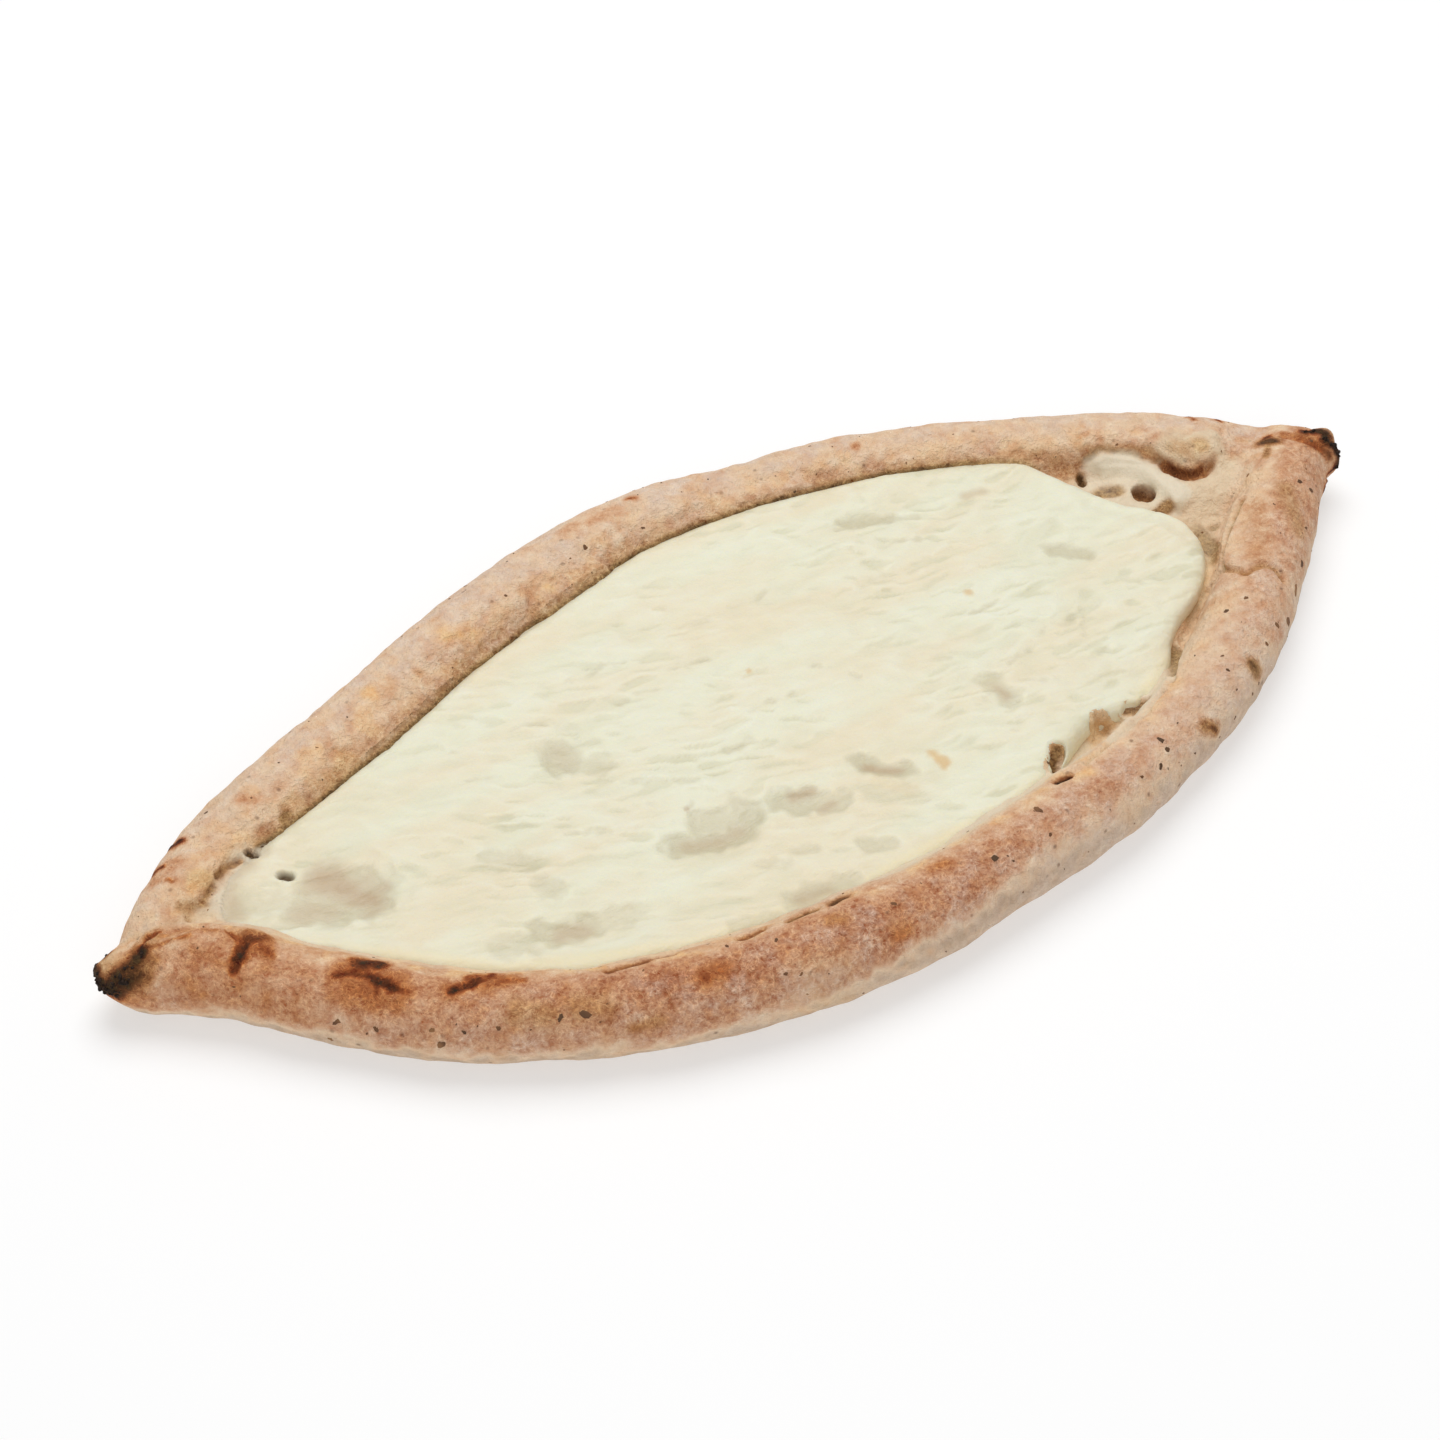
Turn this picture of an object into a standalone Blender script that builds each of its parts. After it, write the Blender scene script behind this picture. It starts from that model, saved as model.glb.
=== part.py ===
"""Akkawi cheese sfiha: an open boat of rolled bran dough, pinched to a point at both ends.

The boat lies along X with its flat underside at Z = 0. Its near roll is on the -Y side and its
far roll on the +Y side. Both rolls are ropes of dough on one thin sheet. A lake of melted cheese
lies in a shallow bed of its own shape in that sheet.
"""

import math

import bmesh
import bpy
import numpy as np
from mathutils import Vector, noise

# Driving sizes, in metres. Y = 0 is the line between the two tips until the whole boat is centred.
SHEET_TOP = 0.0068
CHEESE_TOP = 0.0122
CHEESE_BOTTOM = 0.0054
CHEESE_ROUNDING = 0.0024
CHEESE_TUCK = 0.0018
CHEESE_GAP = 0.00035

# Each station of a roll is x, y and its radius there. The near roll sags out further than the far one.
NEAR_ROLL = (
    (-0.137, -0.001, 0.0072),
    (-0.126, -0.007, 0.0091),
    (-0.109, -0.025, 0.0091),
    (-0.084, -0.046, 0.0090),
    (-0.049, -0.061, 0.0093),
    (-0.012, -0.066, 0.0097),
    (0.026, -0.063, 0.0095),
    (0.062, -0.055, 0.0090),
    (0.095, -0.039, 0.0093),
    (0.120, -0.018, 0.0096),
    (0.140, 0.001, 0.0094),
)
FAR_ROLL = (
    (-0.137, 0.004, 0.0052),
    (-0.131, 0.007, 0.0075),
    (-0.114, 0.019, 0.0084),
    (-0.087, 0.0295, 0.0092),
    (-0.044, 0.046, 0.0097),
    (0.000, 0.057, 0.0091),
    (0.032, 0.055, 0.0083),
    (0.062, 0.049, 0.0080),
    (0.090, 0.037, 0.0080),
    (0.114, 0.024, 0.0084),
    (0.136, 0.0065, 0.0080),
)
# A roll's middle is a little less than its radius above the tray, which flattens its foot.
# Its ends curl up.
ROLL_REST = 0.92
CURL_START = 0.120
CURL_END = 0.140
CURL_HEIGHT = 0.0014

# Lumps of dough: middle and reach along X, Y and Z.
LUMPS = {
    "pinched nose": ((-0.141, 0.0005, 0.0090), (0.0055, 0.0055, 0.0055)),
    "squared end": ((0.138, 0.0050, 0.0092), (0.0075, 0.0070, 0.0078)),
    "charred corner": ((0.145, -0.0025, 0.0102), (0.0063, 0.0062, 0.0060)),
    "swollen sheet right": ((0.124, 0.0045, 0.0055), (0.0150, 0.0100, 0.0075)),
    "blister": ((0.108, 0.0125, 0.0040), (0.0120, 0.0120, 0.0060)),
    "drooping fold": ((0.123, 0.0120, 0.0095), (0.0070, 0.0050, 0.0045)),
    "swollen sheet left": ((-0.127, 0.0040, 0.0060), (0.0080, 0.0060, 0.0070)),
}

# Burst bubbles in the bare dough at the right end: middle and radius.
BUBBLES = (
    ((0.1068, 0.0095, 0.0098), 0.0030),
    ((0.0985, 0.0200, 0.0078), 0.0019),
)

# Between the rolls the cheese fills the boat.
# Its free edge at the right end runs from the far roll to the near one.
FREE_EDGE = (
    (0.0915, 0.0225),
    (0.0985, 0.0080),
    (0.1060, -0.0020),
    (0.1065, -0.0110),
    (0.0990, -0.0215),
    (0.0850, -0.0300),
    (0.0745, -0.0400),
    (0.0650, -0.0440),
    (0.0550, -0.0430),
    (0.0440, -0.0480),
)
LEFT_POINT = (-0.1225, 0.0045)
CHEESE_STARTS = -0.120
CHEESE_LEAVES_FAR_ROLL = 0.095
CHEESE_LEAVES_NEAR_ROLL = 0.040

# Low places in the cheese: middle, reach along X and Y, and depth.
DIPS = (
    ((-0.041, 0.001), (0.0085, 0.0060), 0.0010),
    ((-0.027, -0.030), (0.0105, 0.0070), 0.0013),
    ((-0.008, -0.033), (0.0080, 0.0055), 0.0010),
    ((0.010, -0.032), (0.0080, 0.0045), 0.0009),
    ((-0.097, -0.007), (0.0130, 0.0090), 0.0016),
    ((-0.060, -0.041), (0.0150, 0.0060), 0.0014),
    ((-0.067, -0.014), (0.0080, 0.0050), 0.0008),
    ((0.049, 0.030), (0.0100, 0.0040), 0.0009),
    ((0.081, -0.002), (0.0080, 0.0050), 0.0009),
    ((0.070, -0.040), (0.0120, 0.0060), 0.0020),
)

# Hands leave soft lumps in a rope of dough: how far apart and how high, coarse and fine.
HAND_SWELLS = ((0.034, 0.0007), (0.012, 0.0004))
# The cheese sets in long ripples along the boat and broad swells: spacing along X and Y, and height.
CHEESE_SWELLS = (((0.030, 0.011), 0.0005), ((0.060, 0.035), 0.0008))

# How far the sheet starts below the tray line, and what lies that low is pressed flat.
SHEET_SINK = 0.0006
FOOT_REACH = 0.0004

SKIN_VOXEL = 0.0014
DOUGH_SOFTENING = 10
CHEESE_SOFTENING = 4
DOUGH_TRIANGLES = 7400
CHEESE_TRIANGLES = 2600
ROPE_SIDES = 8
CLEANUP = 1e-6


def collection(name):
    made = bpy.data.collections.new(name)
    bpy.context.scene.collection.children.link(made)
    return made


def remove_startup_objects():
    for obj in list(bpy.data.objects):
        bpy.data.objects.remove(obj)


def food_material(name, colour, roughness):
    made = bpy.data.materials.new(name)
    made.use_nodes = True
    surface = made.node_tree.nodes["Principled BSDF"]
    surface.inputs["Base Color"].default_value = (*colour, 1.0)
    surface.inputs["Roughness"].default_value = roughness
    surface.inputs["Metallic"].default_value = 0.0
    return made


def evaluated_mesh(obj):
    """The mesh that an object's modifiers or bevel make, with a curve's caps welded on."""
    bpy.context.view_layer.update()
    graph = bpy.context.evaluated_depsgraph_get()
    mesh = bpy.data.meshes.new_from_object(obj.evaluated_get(graph))
    work = bmesh.new()
    work.from_mesh(mesh)
    bmesh.ops.remove_doubles(work, verts=work.verts, dist=CLEANUP)
    bmesh.ops.recalc_face_normals(work, faces=work.faces)
    work.to_mesh(mesh)
    work.free()
    return mesh


def apply_modifiers(obj):
    """Gives the object the mesh that its modifiers make, and takes them off."""
    mesh = evaluated_mesh(obj)
    obj.modifiers.clear()
    obj.data = mesh


def as_mesh(curve_obj, into):
    """Turns a curve object into a mesh object of the same name in the given collection."""
    name = curve_obj.name
    mesh = evaluated_mesh(curve_obj)
    mesh.transform(curve_obj.matrix_world)
    bpy.data.objects.remove(curve_obj)
    obj = bpy.data.objects.new(name, mesh)
    into.objects.link(obj)
    return obj


def middle_height(x, radius):
    """How high a roll's middle is where its radius is this."""
    curl = min(max((abs(x) - CURL_START) / (CURL_END - CURL_START), 0.0), 1.0)
    return radius * ROLL_REST + CURL_HEIGHT * curl


def rope(name, stations, into):
    """A rope of dough through the stations, as thick as each says, with a round nose at both ends."""
    thickest = max(radius for _, _, radius in stations)
    data = bpy.data.curves.new(name, "CURVE")
    data.dimensions = "3D"
    data.bevel_depth = thickest
    data.bevel_resolution = ROPE_SIDES
    data.use_fill_caps = True
    spline = data.splines.new("BEZIER")
    spline.bezier_points.add(len(stations) - 1)
    for point, (x, y, radius) in zip(spline.bezier_points, stations):
        point.co = (x, y, middle_height(x, radius))
        point.radius = radius / thickest
        point.handle_left_type = point.handle_right_type = "AUTO"
    curve_obj = bpy.data.objects.new(name, data)
    into.objects.link(curve_obj)
    as_mesh(curve_obj, into)
    for x, y, radius in (stations[0], stations[-1]):
        ball(f"{name} nose", (x, y, middle_height(x, radius)), (radius,) * 3, into)


def ball(name, middle, reach, into):
    """An ellipsoid, for a rope's nose, a lump of dough or the hollow that a bubble leaves."""
    mesh = bpy.data.meshes.new(name)
    work = bmesh.new()
    bmesh.ops.create_uvsphere(work, u_segments=24, v_segments=16, radius=1.0)
    bmesh.ops.scale(work, verts=work.verts, vec=reach)
    work.to_mesh(mesh)
    work.free()
    obj = bpy.data.objects.new(name, mesh)
    obj.location = middle
    into.objects.link(obj)


def slab(name, outline, low, high, rounding, into):
    """A flat slab between two heights, with a smooth closed outline and rounded edges."""
    data = bpy.data.curves.new(name, "CURVE")
    data.dimensions = "2D"
    data.fill_mode = "BOTH"
    data.extrude = (high - low) / 2 - rounding
    data.bevel_depth = rounding
    data.bevel_resolution = 3
    data.offset = -rounding
    spline = data.splines.new("BEZIER")
    spline.use_cyclic_u = True
    spline.bezier_points.add(len(outline) - 1)
    for point, (x, y) in zip(spline.bezier_points, outline):
        point.co = (x, y, 0.0)
        point.handle_left_type = point.handle_right_type = "AUTO"
    curve_obj = bpy.data.objects.new(name, data)
    curve_obj.location.z = (low + high) / 2
    into.objects.link(curve_obj)
    bpy.context.view_layer.update()
    return as_mesh(curve_obj, into)


def boolean(obj, operation, *, other=None, group=None):
    modifier = obj.modifiers.new(operation.lower(), "BOOLEAN")
    modifier.operation = operation
    modifier.solver = "EXACT"
    if group is None:
        modifier.object = other
    else:
        modifier.operand_type = "COLLECTION"
        modifier.collection = group


def soften(obj, passes):
    """Melts the joined shapes into one skin, as dough does when it proves."""
    remesh = obj.modifiers.new("one skin", "REMESH")
    remesh.mode = "VOXEL"
    remesh.voxel_size = SKIN_VOXEL
    smooth = obj.modifiers.new("soften", "SMOOTH")
    smooth.factor = 0.5
    smooth.iterations = passes
    apply_modifiers(obj)


def thin_out(obj, triangles):
    """Leaves about this many triangles, most of them where the surface bends."""
    obj.data.calc_loop_triangles()
    thin = obj.modifiers.new("fewer faces", "DECIMATE")
    thin.ratio = triangles / len(obj.data.loop_triangles)
    thin.use_collapse_triangulate = True
    apply_modifiers(obj)


def reshape(obj, rule):
    """Moves each vertex to where the rule puts it, from its place and its normal."""
    places = [(vertex.co.copy(), vertex.normal.copy()) for vertex in obj.data.vertices]
    moved = [rule(place, normal) for place, normal in places]
    obj.data.vertices.foreach_set("co", np.array(moved, dtype=np.float32).ravel())
    obj.data.update()


def hand_rolled(place, normal):
    swell = sum(height * noise.noise(place / spacing) for spacing, height in HAND_SWELLS)
    return place + normal * swell


def flat_foot(place, _normal):
    """What would reach below the baking tray lies flat on it."""
    if place.z < FOOT_REACH:
        place.z = 0.0
    return place


def dip_depth(x, y):
    return sum(
        depth * math.exp(-(((x - mid_x) / reach_x) ** 2) - ((y - mid_y) / reach_y) ** 2)
        for (mid_x, mid_y), (reach_x, reach_y), depth in DIPS
    )


def melted(place, _normal):
    """Ripples, swells and low places in the cheese's top, all fading out towards its underside."""
    share = (place.z - CHEESE_BOTTOM) / (CHEESE_TOP - CHEESE_BOTTOM)
    swell = sum(
        height * noise.noise(Vector((place.x / along, place.y / across, along)))
        for (along, across), height in CHEESE_SWELLS
    )
    place.z += share * (swell - dip_depth(place.x, place.y))
    return place


def inner_side(stations, first_x, last_x):
    """The points where the cheese meets a roll, tucked a little under it."""
    edge = []
    for before, (x, y, radius), after in zip(stations, stations[1:], stations[2:]):
        if not first_x < x < last_x:
            continue
        along = Vector((after[0] - before[0], after[1] - before[1])).normalized()
        inward = -math.copysign(1.0, y)
        reach = (radius - CHEESE_TUCK) * inward
        edge.append((x - along.y * reach, y + along.x * reach))
    return edge


def cheese_outline():
    """Clockwise from the left point, along the far roll, the free edge and back along the near roll."""
    far_side = inner_side(FAR_ROLL, CHEESE_STARTS, CHEESE_LEAVES_FAR_ROLL)
    near_side = inner_side(NEAR_ROLL, CHEESE_STARTS, CHEESE_LEAVES_NEAR_ROLL)
    return [LEFT_POINT, *far_side, *FREE_EDGE, *reversed(near_side)]


def build_cheese(parts):
    cheese = slab("akkawi_cheese", cheese_outline(), CHEESE_BOTTOM, CHEESE_TOP, CHEESE_ROUNDING, parts)
    soften(cheese, CHEESE_SOFTENING)
    reshape(cheese, melted)
    thin_out(cheese, CHEESE_TRIANGLES)
    cheese.data.materials.append(food_material("melted white cheese", (0.81, 0.79, 0.61), 0.38))
    return cheese


def cheese_bed(cheese, helpers):
    """The cheese a little larger all round, which is the hollow that it leaves in the dough."""
    bed = bpy.data.objects.new("cheese bed", cheese.data.copy())
    helpers.objects.link(bed)
    grow = bed.modifiers.new("clearance", "DISPLACE")
    grow.strength = CHEESE_GAP
    grow.mid_level = 0.0
    apply_modifiers(bed)
    return bed


def build_dough(parts, ropes, bubbles, bed):
    outline = [(x, y) for x, y, _ in (*NEAR_ROLL, *reversed(FAR_ROLL))]
    dough = slab("dough_boat", outline, -SHEET_SINK, SHEET_TOP, SHEET_SINK, parts)
    rope("near roll", NEAR_ROLL, ropes)
    rope("far roll", FAR_ROLL, ropes)
    for name, (middle, reach) in LUMPS.items():
        ball(name, middle, reach, ropes)
    for middle, radius in BUBBLES:
        ball("burst bubble", middle, (radius,) * 3, bubbles)
    boolean(dough, "UNION", group=ropes)
    soften(dough, DOUGH_SOFTENING)
    reshape(dough, hand_rolled)
    thin_out(dough, DOUGH_TRIANGLES)
    reshape(dough, flat_foot)
    boolean(dough, "DIFFERENCE", other=bed)
    boolean(dough, "DIFFERENCE", group=bubbles)
    apply_modifiers(dough)
    dough.data.materials.append(food_material("baked bran dough", (0.58, 0.36, 0.23), 0.85))
    return dough


def centre_on_foot(objects):
    """Carries the whole boat so that the middle of its box is over the origin."""
    corners = np.array([vertex.co for obj in objects for vertex in obj.data.vertices])
    middle = (corners.min(axis=0) + corners.max(axis=0)) / 2
    centre = bpy.data.objects.new("boat centre", None)
    centre.location = (-middle[0], -middle[1], 0.0)
    bpy.context.scene.collection.objects.link(centre)
    for obj in objects:
        obj.parent = centre
    print("the tip line lies at", tuple(round(value, 5) for value in centre.location))


def main():
    remove_startup_objects()
    parts = collection("akkawi cheese sfiha")
    helpers = collection("helpers")
    helpers.hide_render = True
    ropes = bpy.data.collections.new("dough ropes")
    bubbles = bpy.data.collections.new("bubbles")
    helpers.children.link(ropes)
    helpers.children.link(bubbles)
    cheese = build_cheese(parts)
    bed = cheese_bed(cheese, helpers)
    dough = build_dough(parts, ropes, bubbles, bed)
    for helper in list(helpers.all_objects):
        bpy.data.objects.remove(helper)
    centre_on_foot([dough, cheese])


main()
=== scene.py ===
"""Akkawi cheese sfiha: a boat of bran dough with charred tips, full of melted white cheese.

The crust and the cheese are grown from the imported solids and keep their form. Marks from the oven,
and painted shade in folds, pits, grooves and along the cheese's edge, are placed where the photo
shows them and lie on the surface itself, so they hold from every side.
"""

import math

import bmesh
import bpy
import numpy as np
from bpy.props import FloatProperty, FloatVectorProperty, IntProperty, PointerProperty
from mathutils import Matrix, Vector, noise
from mathutils.bvhtree import BVHTree


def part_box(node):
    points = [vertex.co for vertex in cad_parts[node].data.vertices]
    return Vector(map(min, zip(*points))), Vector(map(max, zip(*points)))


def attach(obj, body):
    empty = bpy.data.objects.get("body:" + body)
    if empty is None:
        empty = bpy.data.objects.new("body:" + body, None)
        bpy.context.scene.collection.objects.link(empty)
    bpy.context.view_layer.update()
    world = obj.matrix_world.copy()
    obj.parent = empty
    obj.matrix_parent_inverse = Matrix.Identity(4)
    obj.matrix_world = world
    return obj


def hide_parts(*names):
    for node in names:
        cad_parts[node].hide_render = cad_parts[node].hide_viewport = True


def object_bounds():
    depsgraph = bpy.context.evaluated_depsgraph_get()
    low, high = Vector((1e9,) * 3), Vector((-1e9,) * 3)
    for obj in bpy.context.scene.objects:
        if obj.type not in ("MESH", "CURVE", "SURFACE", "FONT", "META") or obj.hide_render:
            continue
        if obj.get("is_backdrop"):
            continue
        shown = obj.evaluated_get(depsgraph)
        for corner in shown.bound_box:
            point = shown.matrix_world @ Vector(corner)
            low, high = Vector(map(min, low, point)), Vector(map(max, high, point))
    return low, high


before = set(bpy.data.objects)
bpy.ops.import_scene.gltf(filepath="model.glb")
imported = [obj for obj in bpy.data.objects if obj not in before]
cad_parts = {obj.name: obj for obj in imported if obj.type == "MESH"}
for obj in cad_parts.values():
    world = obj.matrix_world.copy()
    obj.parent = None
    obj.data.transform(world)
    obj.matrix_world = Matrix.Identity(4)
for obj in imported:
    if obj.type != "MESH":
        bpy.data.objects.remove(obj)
CAD_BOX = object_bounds()

bl_info = {
    "name": "Akkawi Cheese Sfiha",
    "version": (1, 0, 0),
    "blender": (4, 5, 0),
    "location": "3D View > Sidebar > Sfiha",
    "description": "Dresses a boat-shaped flatbread of bran dough and melted akkawi cheese",
    "category": "Object",
}

MM = 0.001
DOUGH_NODE = "dough_boat"
CHEESE_NODE = "akkawi_cheese"
DOUGH_SLOT = "baked_dough"
CHEESE_SLOT = "melted_cheese"

# The photo's camera, in metres, and its square picture. Marks are given in this picture's pixels.
PHOTO_EYE = Vector((-0.25058, -0.38214, 0.47075))
PHOTO_TARGET = Vector((-0.00691, 0.01109, 0.0))
PHOTO_LENS = 79.2
SENSOR_WIDTH = 36.0
PHOTO_SIZE = 1440

# The rolls' middles, each station an x, a y and a radius in metres, from the middle of the tip line.
TIP_LINE = (-0.00242, 0.00498)
NEAR_ROLL = (
    (-0.137, -0.001, 0.0072),
    (-0.126, -0.007, 0.0091),
    (-0.109, -0.025, 0.0091),
    (-0.084, -0.046, 0.0090),
    (-0.049, -0.061, 0.0093),
    (-0.012, -0.066, 0.0097),
    (0.026, -0.063, 0.0095),
    (0.062, -0.055, 0.0090),
    (0.095, -0.039, 0.0093),
    (0.120, -0.018, 0.0096),
    (0.140, 0.001, 0.0094),
)
FAR_ROLL = (
    (-0.137, 0.004, 0.0052),
    (-0.131, 0.007, 0.0075),
    (-0.114, 0.019, 0.0084),
    (-0.087, 0.0295, 0.0092),
    (-0.044, 0.046, 0.0097),
    (0.000, 0.057, 0.0091),
    (0.032, 0.055, 0.0083),
    (0.062, 0.049, 0.0080),
    (0.090, 0.037, 0.0080),
    (0.114, 0.024, 0.0084),
    (0.136, 0.0065, 0.0080),
)

# How high a roll's middle lies, as a share of its radius, and how closely its line is stepped.
ROLL_REST = 0.92
LINE_STEP = 3 * MM

# The cheese's edge is fused to all the dough before the first x, and to the near roll before the second.
LEFT_END = -0.112
RIGHT_END = 0.088

# How high a roll's crest is, for a pixel whose ray just misses it.
CREST_HEIGHT = 10 * MM

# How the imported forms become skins: the gap to close between them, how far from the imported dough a
# place counts as hidden by cheese, rounds of smoothing, and the share of hidden vertices kept.
MEETING_GAP = 0.6 * MM
UNDER_CHEESE = 3 * MM
CRUST_ROUNDS, CHEESE_ROUNDS = 40, 45
CRUST_KEPT, CHEESE_KEPT = 0.12, 0.1

# The crust's underside lies this low or faces down this much, and the cheese's this low above its box.
UNDERSIDE_TOP, UNDERSIDE_FACING = 0.7 * MM, -0.5
CHEESE_UNDERSIDE_TOP = 1.0 * MM

# Fields of noise: how many mm apart their hills are, along each axis or all, and a shift of their own.
FIELDS = {
    "patches": (15, 0.0),
    "small patches": (6, 3.0),
    "ragged": (2.6, 5.0),
    "crinkles": (3.6, 17.0),
    "lumps": (5.5, 7.0),
    "grain": (2.4, 1.0),
    "char": (1.7, 4.0),
    "warp": (12, 2.0),
    "fine warp": (4, 21.0),
    "busy": (20, 14.0),
    "ripples": ((24, 7.5, 20), 6.0),
    "folds": ((12, 3.6, 20), 12.0),
    "cuts": ((6.0, 1.5, 20), 8.0),
    "curds": ((4.6, 2.6, 20), 31.0),
    "fading": (2.6, 41.0),
}
CRINKLE_SHARPNESS = 2.6

# A mark's edge is ragged once more at a coarser grain: how many times the first, and how much of it.
COARSER_EDGE, COARSER_SHARE = 2.7, 0.6

# From where to where a look comes in: x in metres, degrees round a roll, distance from a skin, or share.
SPANS = {
    "crest cools": (0.01, 0.04),
    "foot gets floury": (-0.03, 0.02),
    "slits begin": (-0.03, 0.0),
    "middle": (RIGHT_END, 0.066),
    "right end": (RIGHT_END, 0.10),
    "cheese, right end": (0.07, 0.095),
    "cheese, left end": (-0.10, -0.12),
    "seam pales": (0.07, 0.09),
    "near crest": (78, 112),
    "near low flank": (62, 24),
    "near gilt": (92, 118),
    "slit strip": (116, 128),
    "near film": (128, 142),
    "far inner flank": (85, 120),
    "far shade": (118, 152),
    "sheet": (0.5 * MM, 2.5 * MM),
    "relief over the floor": (0.2 * MM, 2.5 * MM),
    "near rim": (2.6 * MM, 0.2 * MM),
    "far rim": (4.4 * MM, 0.8 * MM),
    "far dip": (2.2 * MM, 0.4 * MM),
    "seam shade": (2.4 * MM, 0.7 * MM),
    "seam": (1.3 * MM, 0.4 * MM),
    "film burns off": (0.42, 0.62),
    "gilt burns off": (0.40, 0.62),
    "char": (0.74, 0.95),
    "faces up": (0.2, 0.9),
    "cuts": (0.16, 0.46),
}

# How many degrees above and below its angle the edge of the near roll's pale foot fades.
FOOT_ABOVE, FOOT_BELOW = 24, 20

# Flakes: sides, the share of its length that the upper radius is, how narrow, and how torn. Small ones
# sit this high or higher on the crust, where it faces up more than this.
BRAN_SEED = 11
FLAKE_SIDES = 7
FLAKE_TOP = 0.36
FLAKE_WIDTHS = (0.45, 0.85)
FLAKE_TEAR = 0.13
FLAKE_LOWEST, FLAKE_FACING = 3 * MM, -0.3

# Crumbs: how burnt and how near the tips the crust is where they sit, their shape and their pits.
CHAR_SEED = 5
CRUMB_BAKE = 0.93
CRUMB_X = 0.135
CRUMB_LOWEST = 1.5 * MM
CRUMB_STRETCH = (0.7, 1.2)
CRUMB_PITS, CRUMB_PIT_SIZE = 0.35, 0.6 * MM

# The two soft boxes and half the side of the floor, in metres.
BOX_WIDTH = 0.9
OVERHEAD_PLACE = (0.14, 0.32, 1.03)
FRONT_PLACE = (-0.5, -0.9, 0.7)
FLOOR_HALF = 2.0

# How the near roll is baked along its length: x in mm, toast of its flank, the angle up to which its
# foot stays pale, and how floury it is.
NEAR_BAKING = (
    (-148, 0.45, -24, 0.05),
    (-120, 0.46, -8, 0.16),
    (-95, 0.50, -8, 0.28),
    (-70, 0.57, -8, 0.44),
    (-35, 0.61, 1, 0.53),
    (-10, 0.56, 16, 0.54),
    (15, 0.50, 31, 0.57),
    (35, 0.44, 23, 0.62),
    (55, 0.38, 17, 0.66),
    (75, 0.35, 14, 0.68),
    (90, 0.33, 10, 0.66),
    (112, 0.42, 4, 0.54),
    (130, 0.45, -4, 0.36),
    (148, 0.46, -14, 0.20),
)

# How the far roll is baked: x in mm, toast, how floury its top is and how golden its inner flank is.
FAR_BAKING = (
    (-148, 0.30, 0.10, 0.50),
    (-122, 0.27, 0.20, 0.95),
    (-85, 0.27, 0.42, 0.80),
    (-40, 0.27, 0.76, 0.62),
    (20, 0.26, 0.70, 0.58),
    (60, 0.26, 0.50, 0.65),
    (95, 0.27, 0.42, 0.60),
    (120, 0.27, 0.45, 0.35),
    (148, 0.40, 0.20, 0.20),
)

# How each kind of mark is painted: how many times its reach it spreads, how ragged its edge is, the
# grain of that edge in mm, and the share of the spread that it fills.
EDGES = {
    "bare dough": (1.0, 0.0, 1.6, 0.5),
    "thin cheese": (1.0, 0.0, 1.6, 0.6),
    "tug": (1.0, 0.0, 1.6, 0.0),
    "swelling": (1.0, 0.08, 4, 0.25),
    "film": (1.2, 0.2, 1.6, 0.45),
    "stain_and_shade": (1.15, 0.16, 2.4, 0.1),
    "gold": (1.0, 0.3, 3, 0.2),
    "halo": (1.0, 0.3, 1.6, 0.0),
    "scorch": (1.25, 0.35, 1.3, 0.1),
    "crease": (1.4, 0.2, 1.6, 0.25),
    "crease's sides": (1.7, 0.12, 1.6, 0.25),
    "pit": (1.3, 0.14, 1.6, 0.35),
    "dent": (1.2, 0.35, 2.6, 0.25),
    "wrinkle": (1.2, 0.4, 1.8, 0.0),
    "dough below": (1.0, 0.3, 3, 0.0),
    "spot": (1.0, 0.4, 1.6, 0.25),
    "hole": (1.3, 0.1, 1.6, 0.25),
    "thin edge": (1.0, 0.2, 3, 0.0),
    "gap": (1.0, 0.14, 2.2, 0.5),
}

# Each path below is a run of the photo's pixels, x and y in turn.

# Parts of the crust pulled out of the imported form: photo pixel, reach in mm and the pull in mm.
TUGS = {
    "right corner, hump": ((1283, 423), 12.0, (0.0, 0.0, -2.9)),
    "right corner, before the hump": ((1245, 424), 9.0, (0.0, 0.0, -1.7)),
    "right corner, shoulder": ((1324, 436), 3.8, (0.3, 0.0, 1.9)),
    "right corner, point": ((1337, 459), 3.4, (0.2, 0.2, 0.0)),
    "right corner, low": ((1324, 486), 4.5, (0.8, -0.5, 0.0)),
}

# Swellings of the skin: photo pixels that they run through, reach and height in mm.
SWELLS = {
    "drooping lobe": ((1172, 450, 1188, 456, 1206, 451), 6.0, 2.5),
    "drooping lobe, top": ((1170, 434, 1190, 437, 1210, 433), 6.0, 0.5),
    "nose": ((145, 944, 156, 936), 3.0, 0.8),
    "blister round the hole": ((1104, 464, 1130, 465, 1152, 472, 1170, 486, 1178, 497), 4.0, 1.5),
    "inner shoulder of the far roll": ((1080, 440, 1110, 444, 1150, 446), 3.6, 0.7),
    "bulge into the boat": ((1238, 506, 1230, 535, 1229, 560), 3.6, 1.1),
    "ledge strip": ((1084, 766, 1105, 746, 1130, 722), 1.8, 0.6),
    "lip of the left fold": ((148, 950, 180, 942, 215, 935), 3.4, 0.5),
    "swelling before the fold burn": ((255, 936, 268, 946), 4.0, 0.6),
    "lump on the left sheet": ((200, 880, 212, 868), 3.0, 0.6),
    "far roll, left bulge": ((372, 757, 408, 728, 448, 690), 6.0, 1.7),
    "far roll, middle bulge": ((552, 611, 574, 598, 596, 582), 5.5, 2.0),
    "far roll, bulge past it": ((736, 509, 770, 501, 802, 495), 5.0, 1.3),
    "near roll, lip": ((955, 832, 980, 818, 1002, 805), 4.5, 0.8),
}

# Past this darkness a scorch has a toasted halo.
HALO_FROM = 0.64

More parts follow.
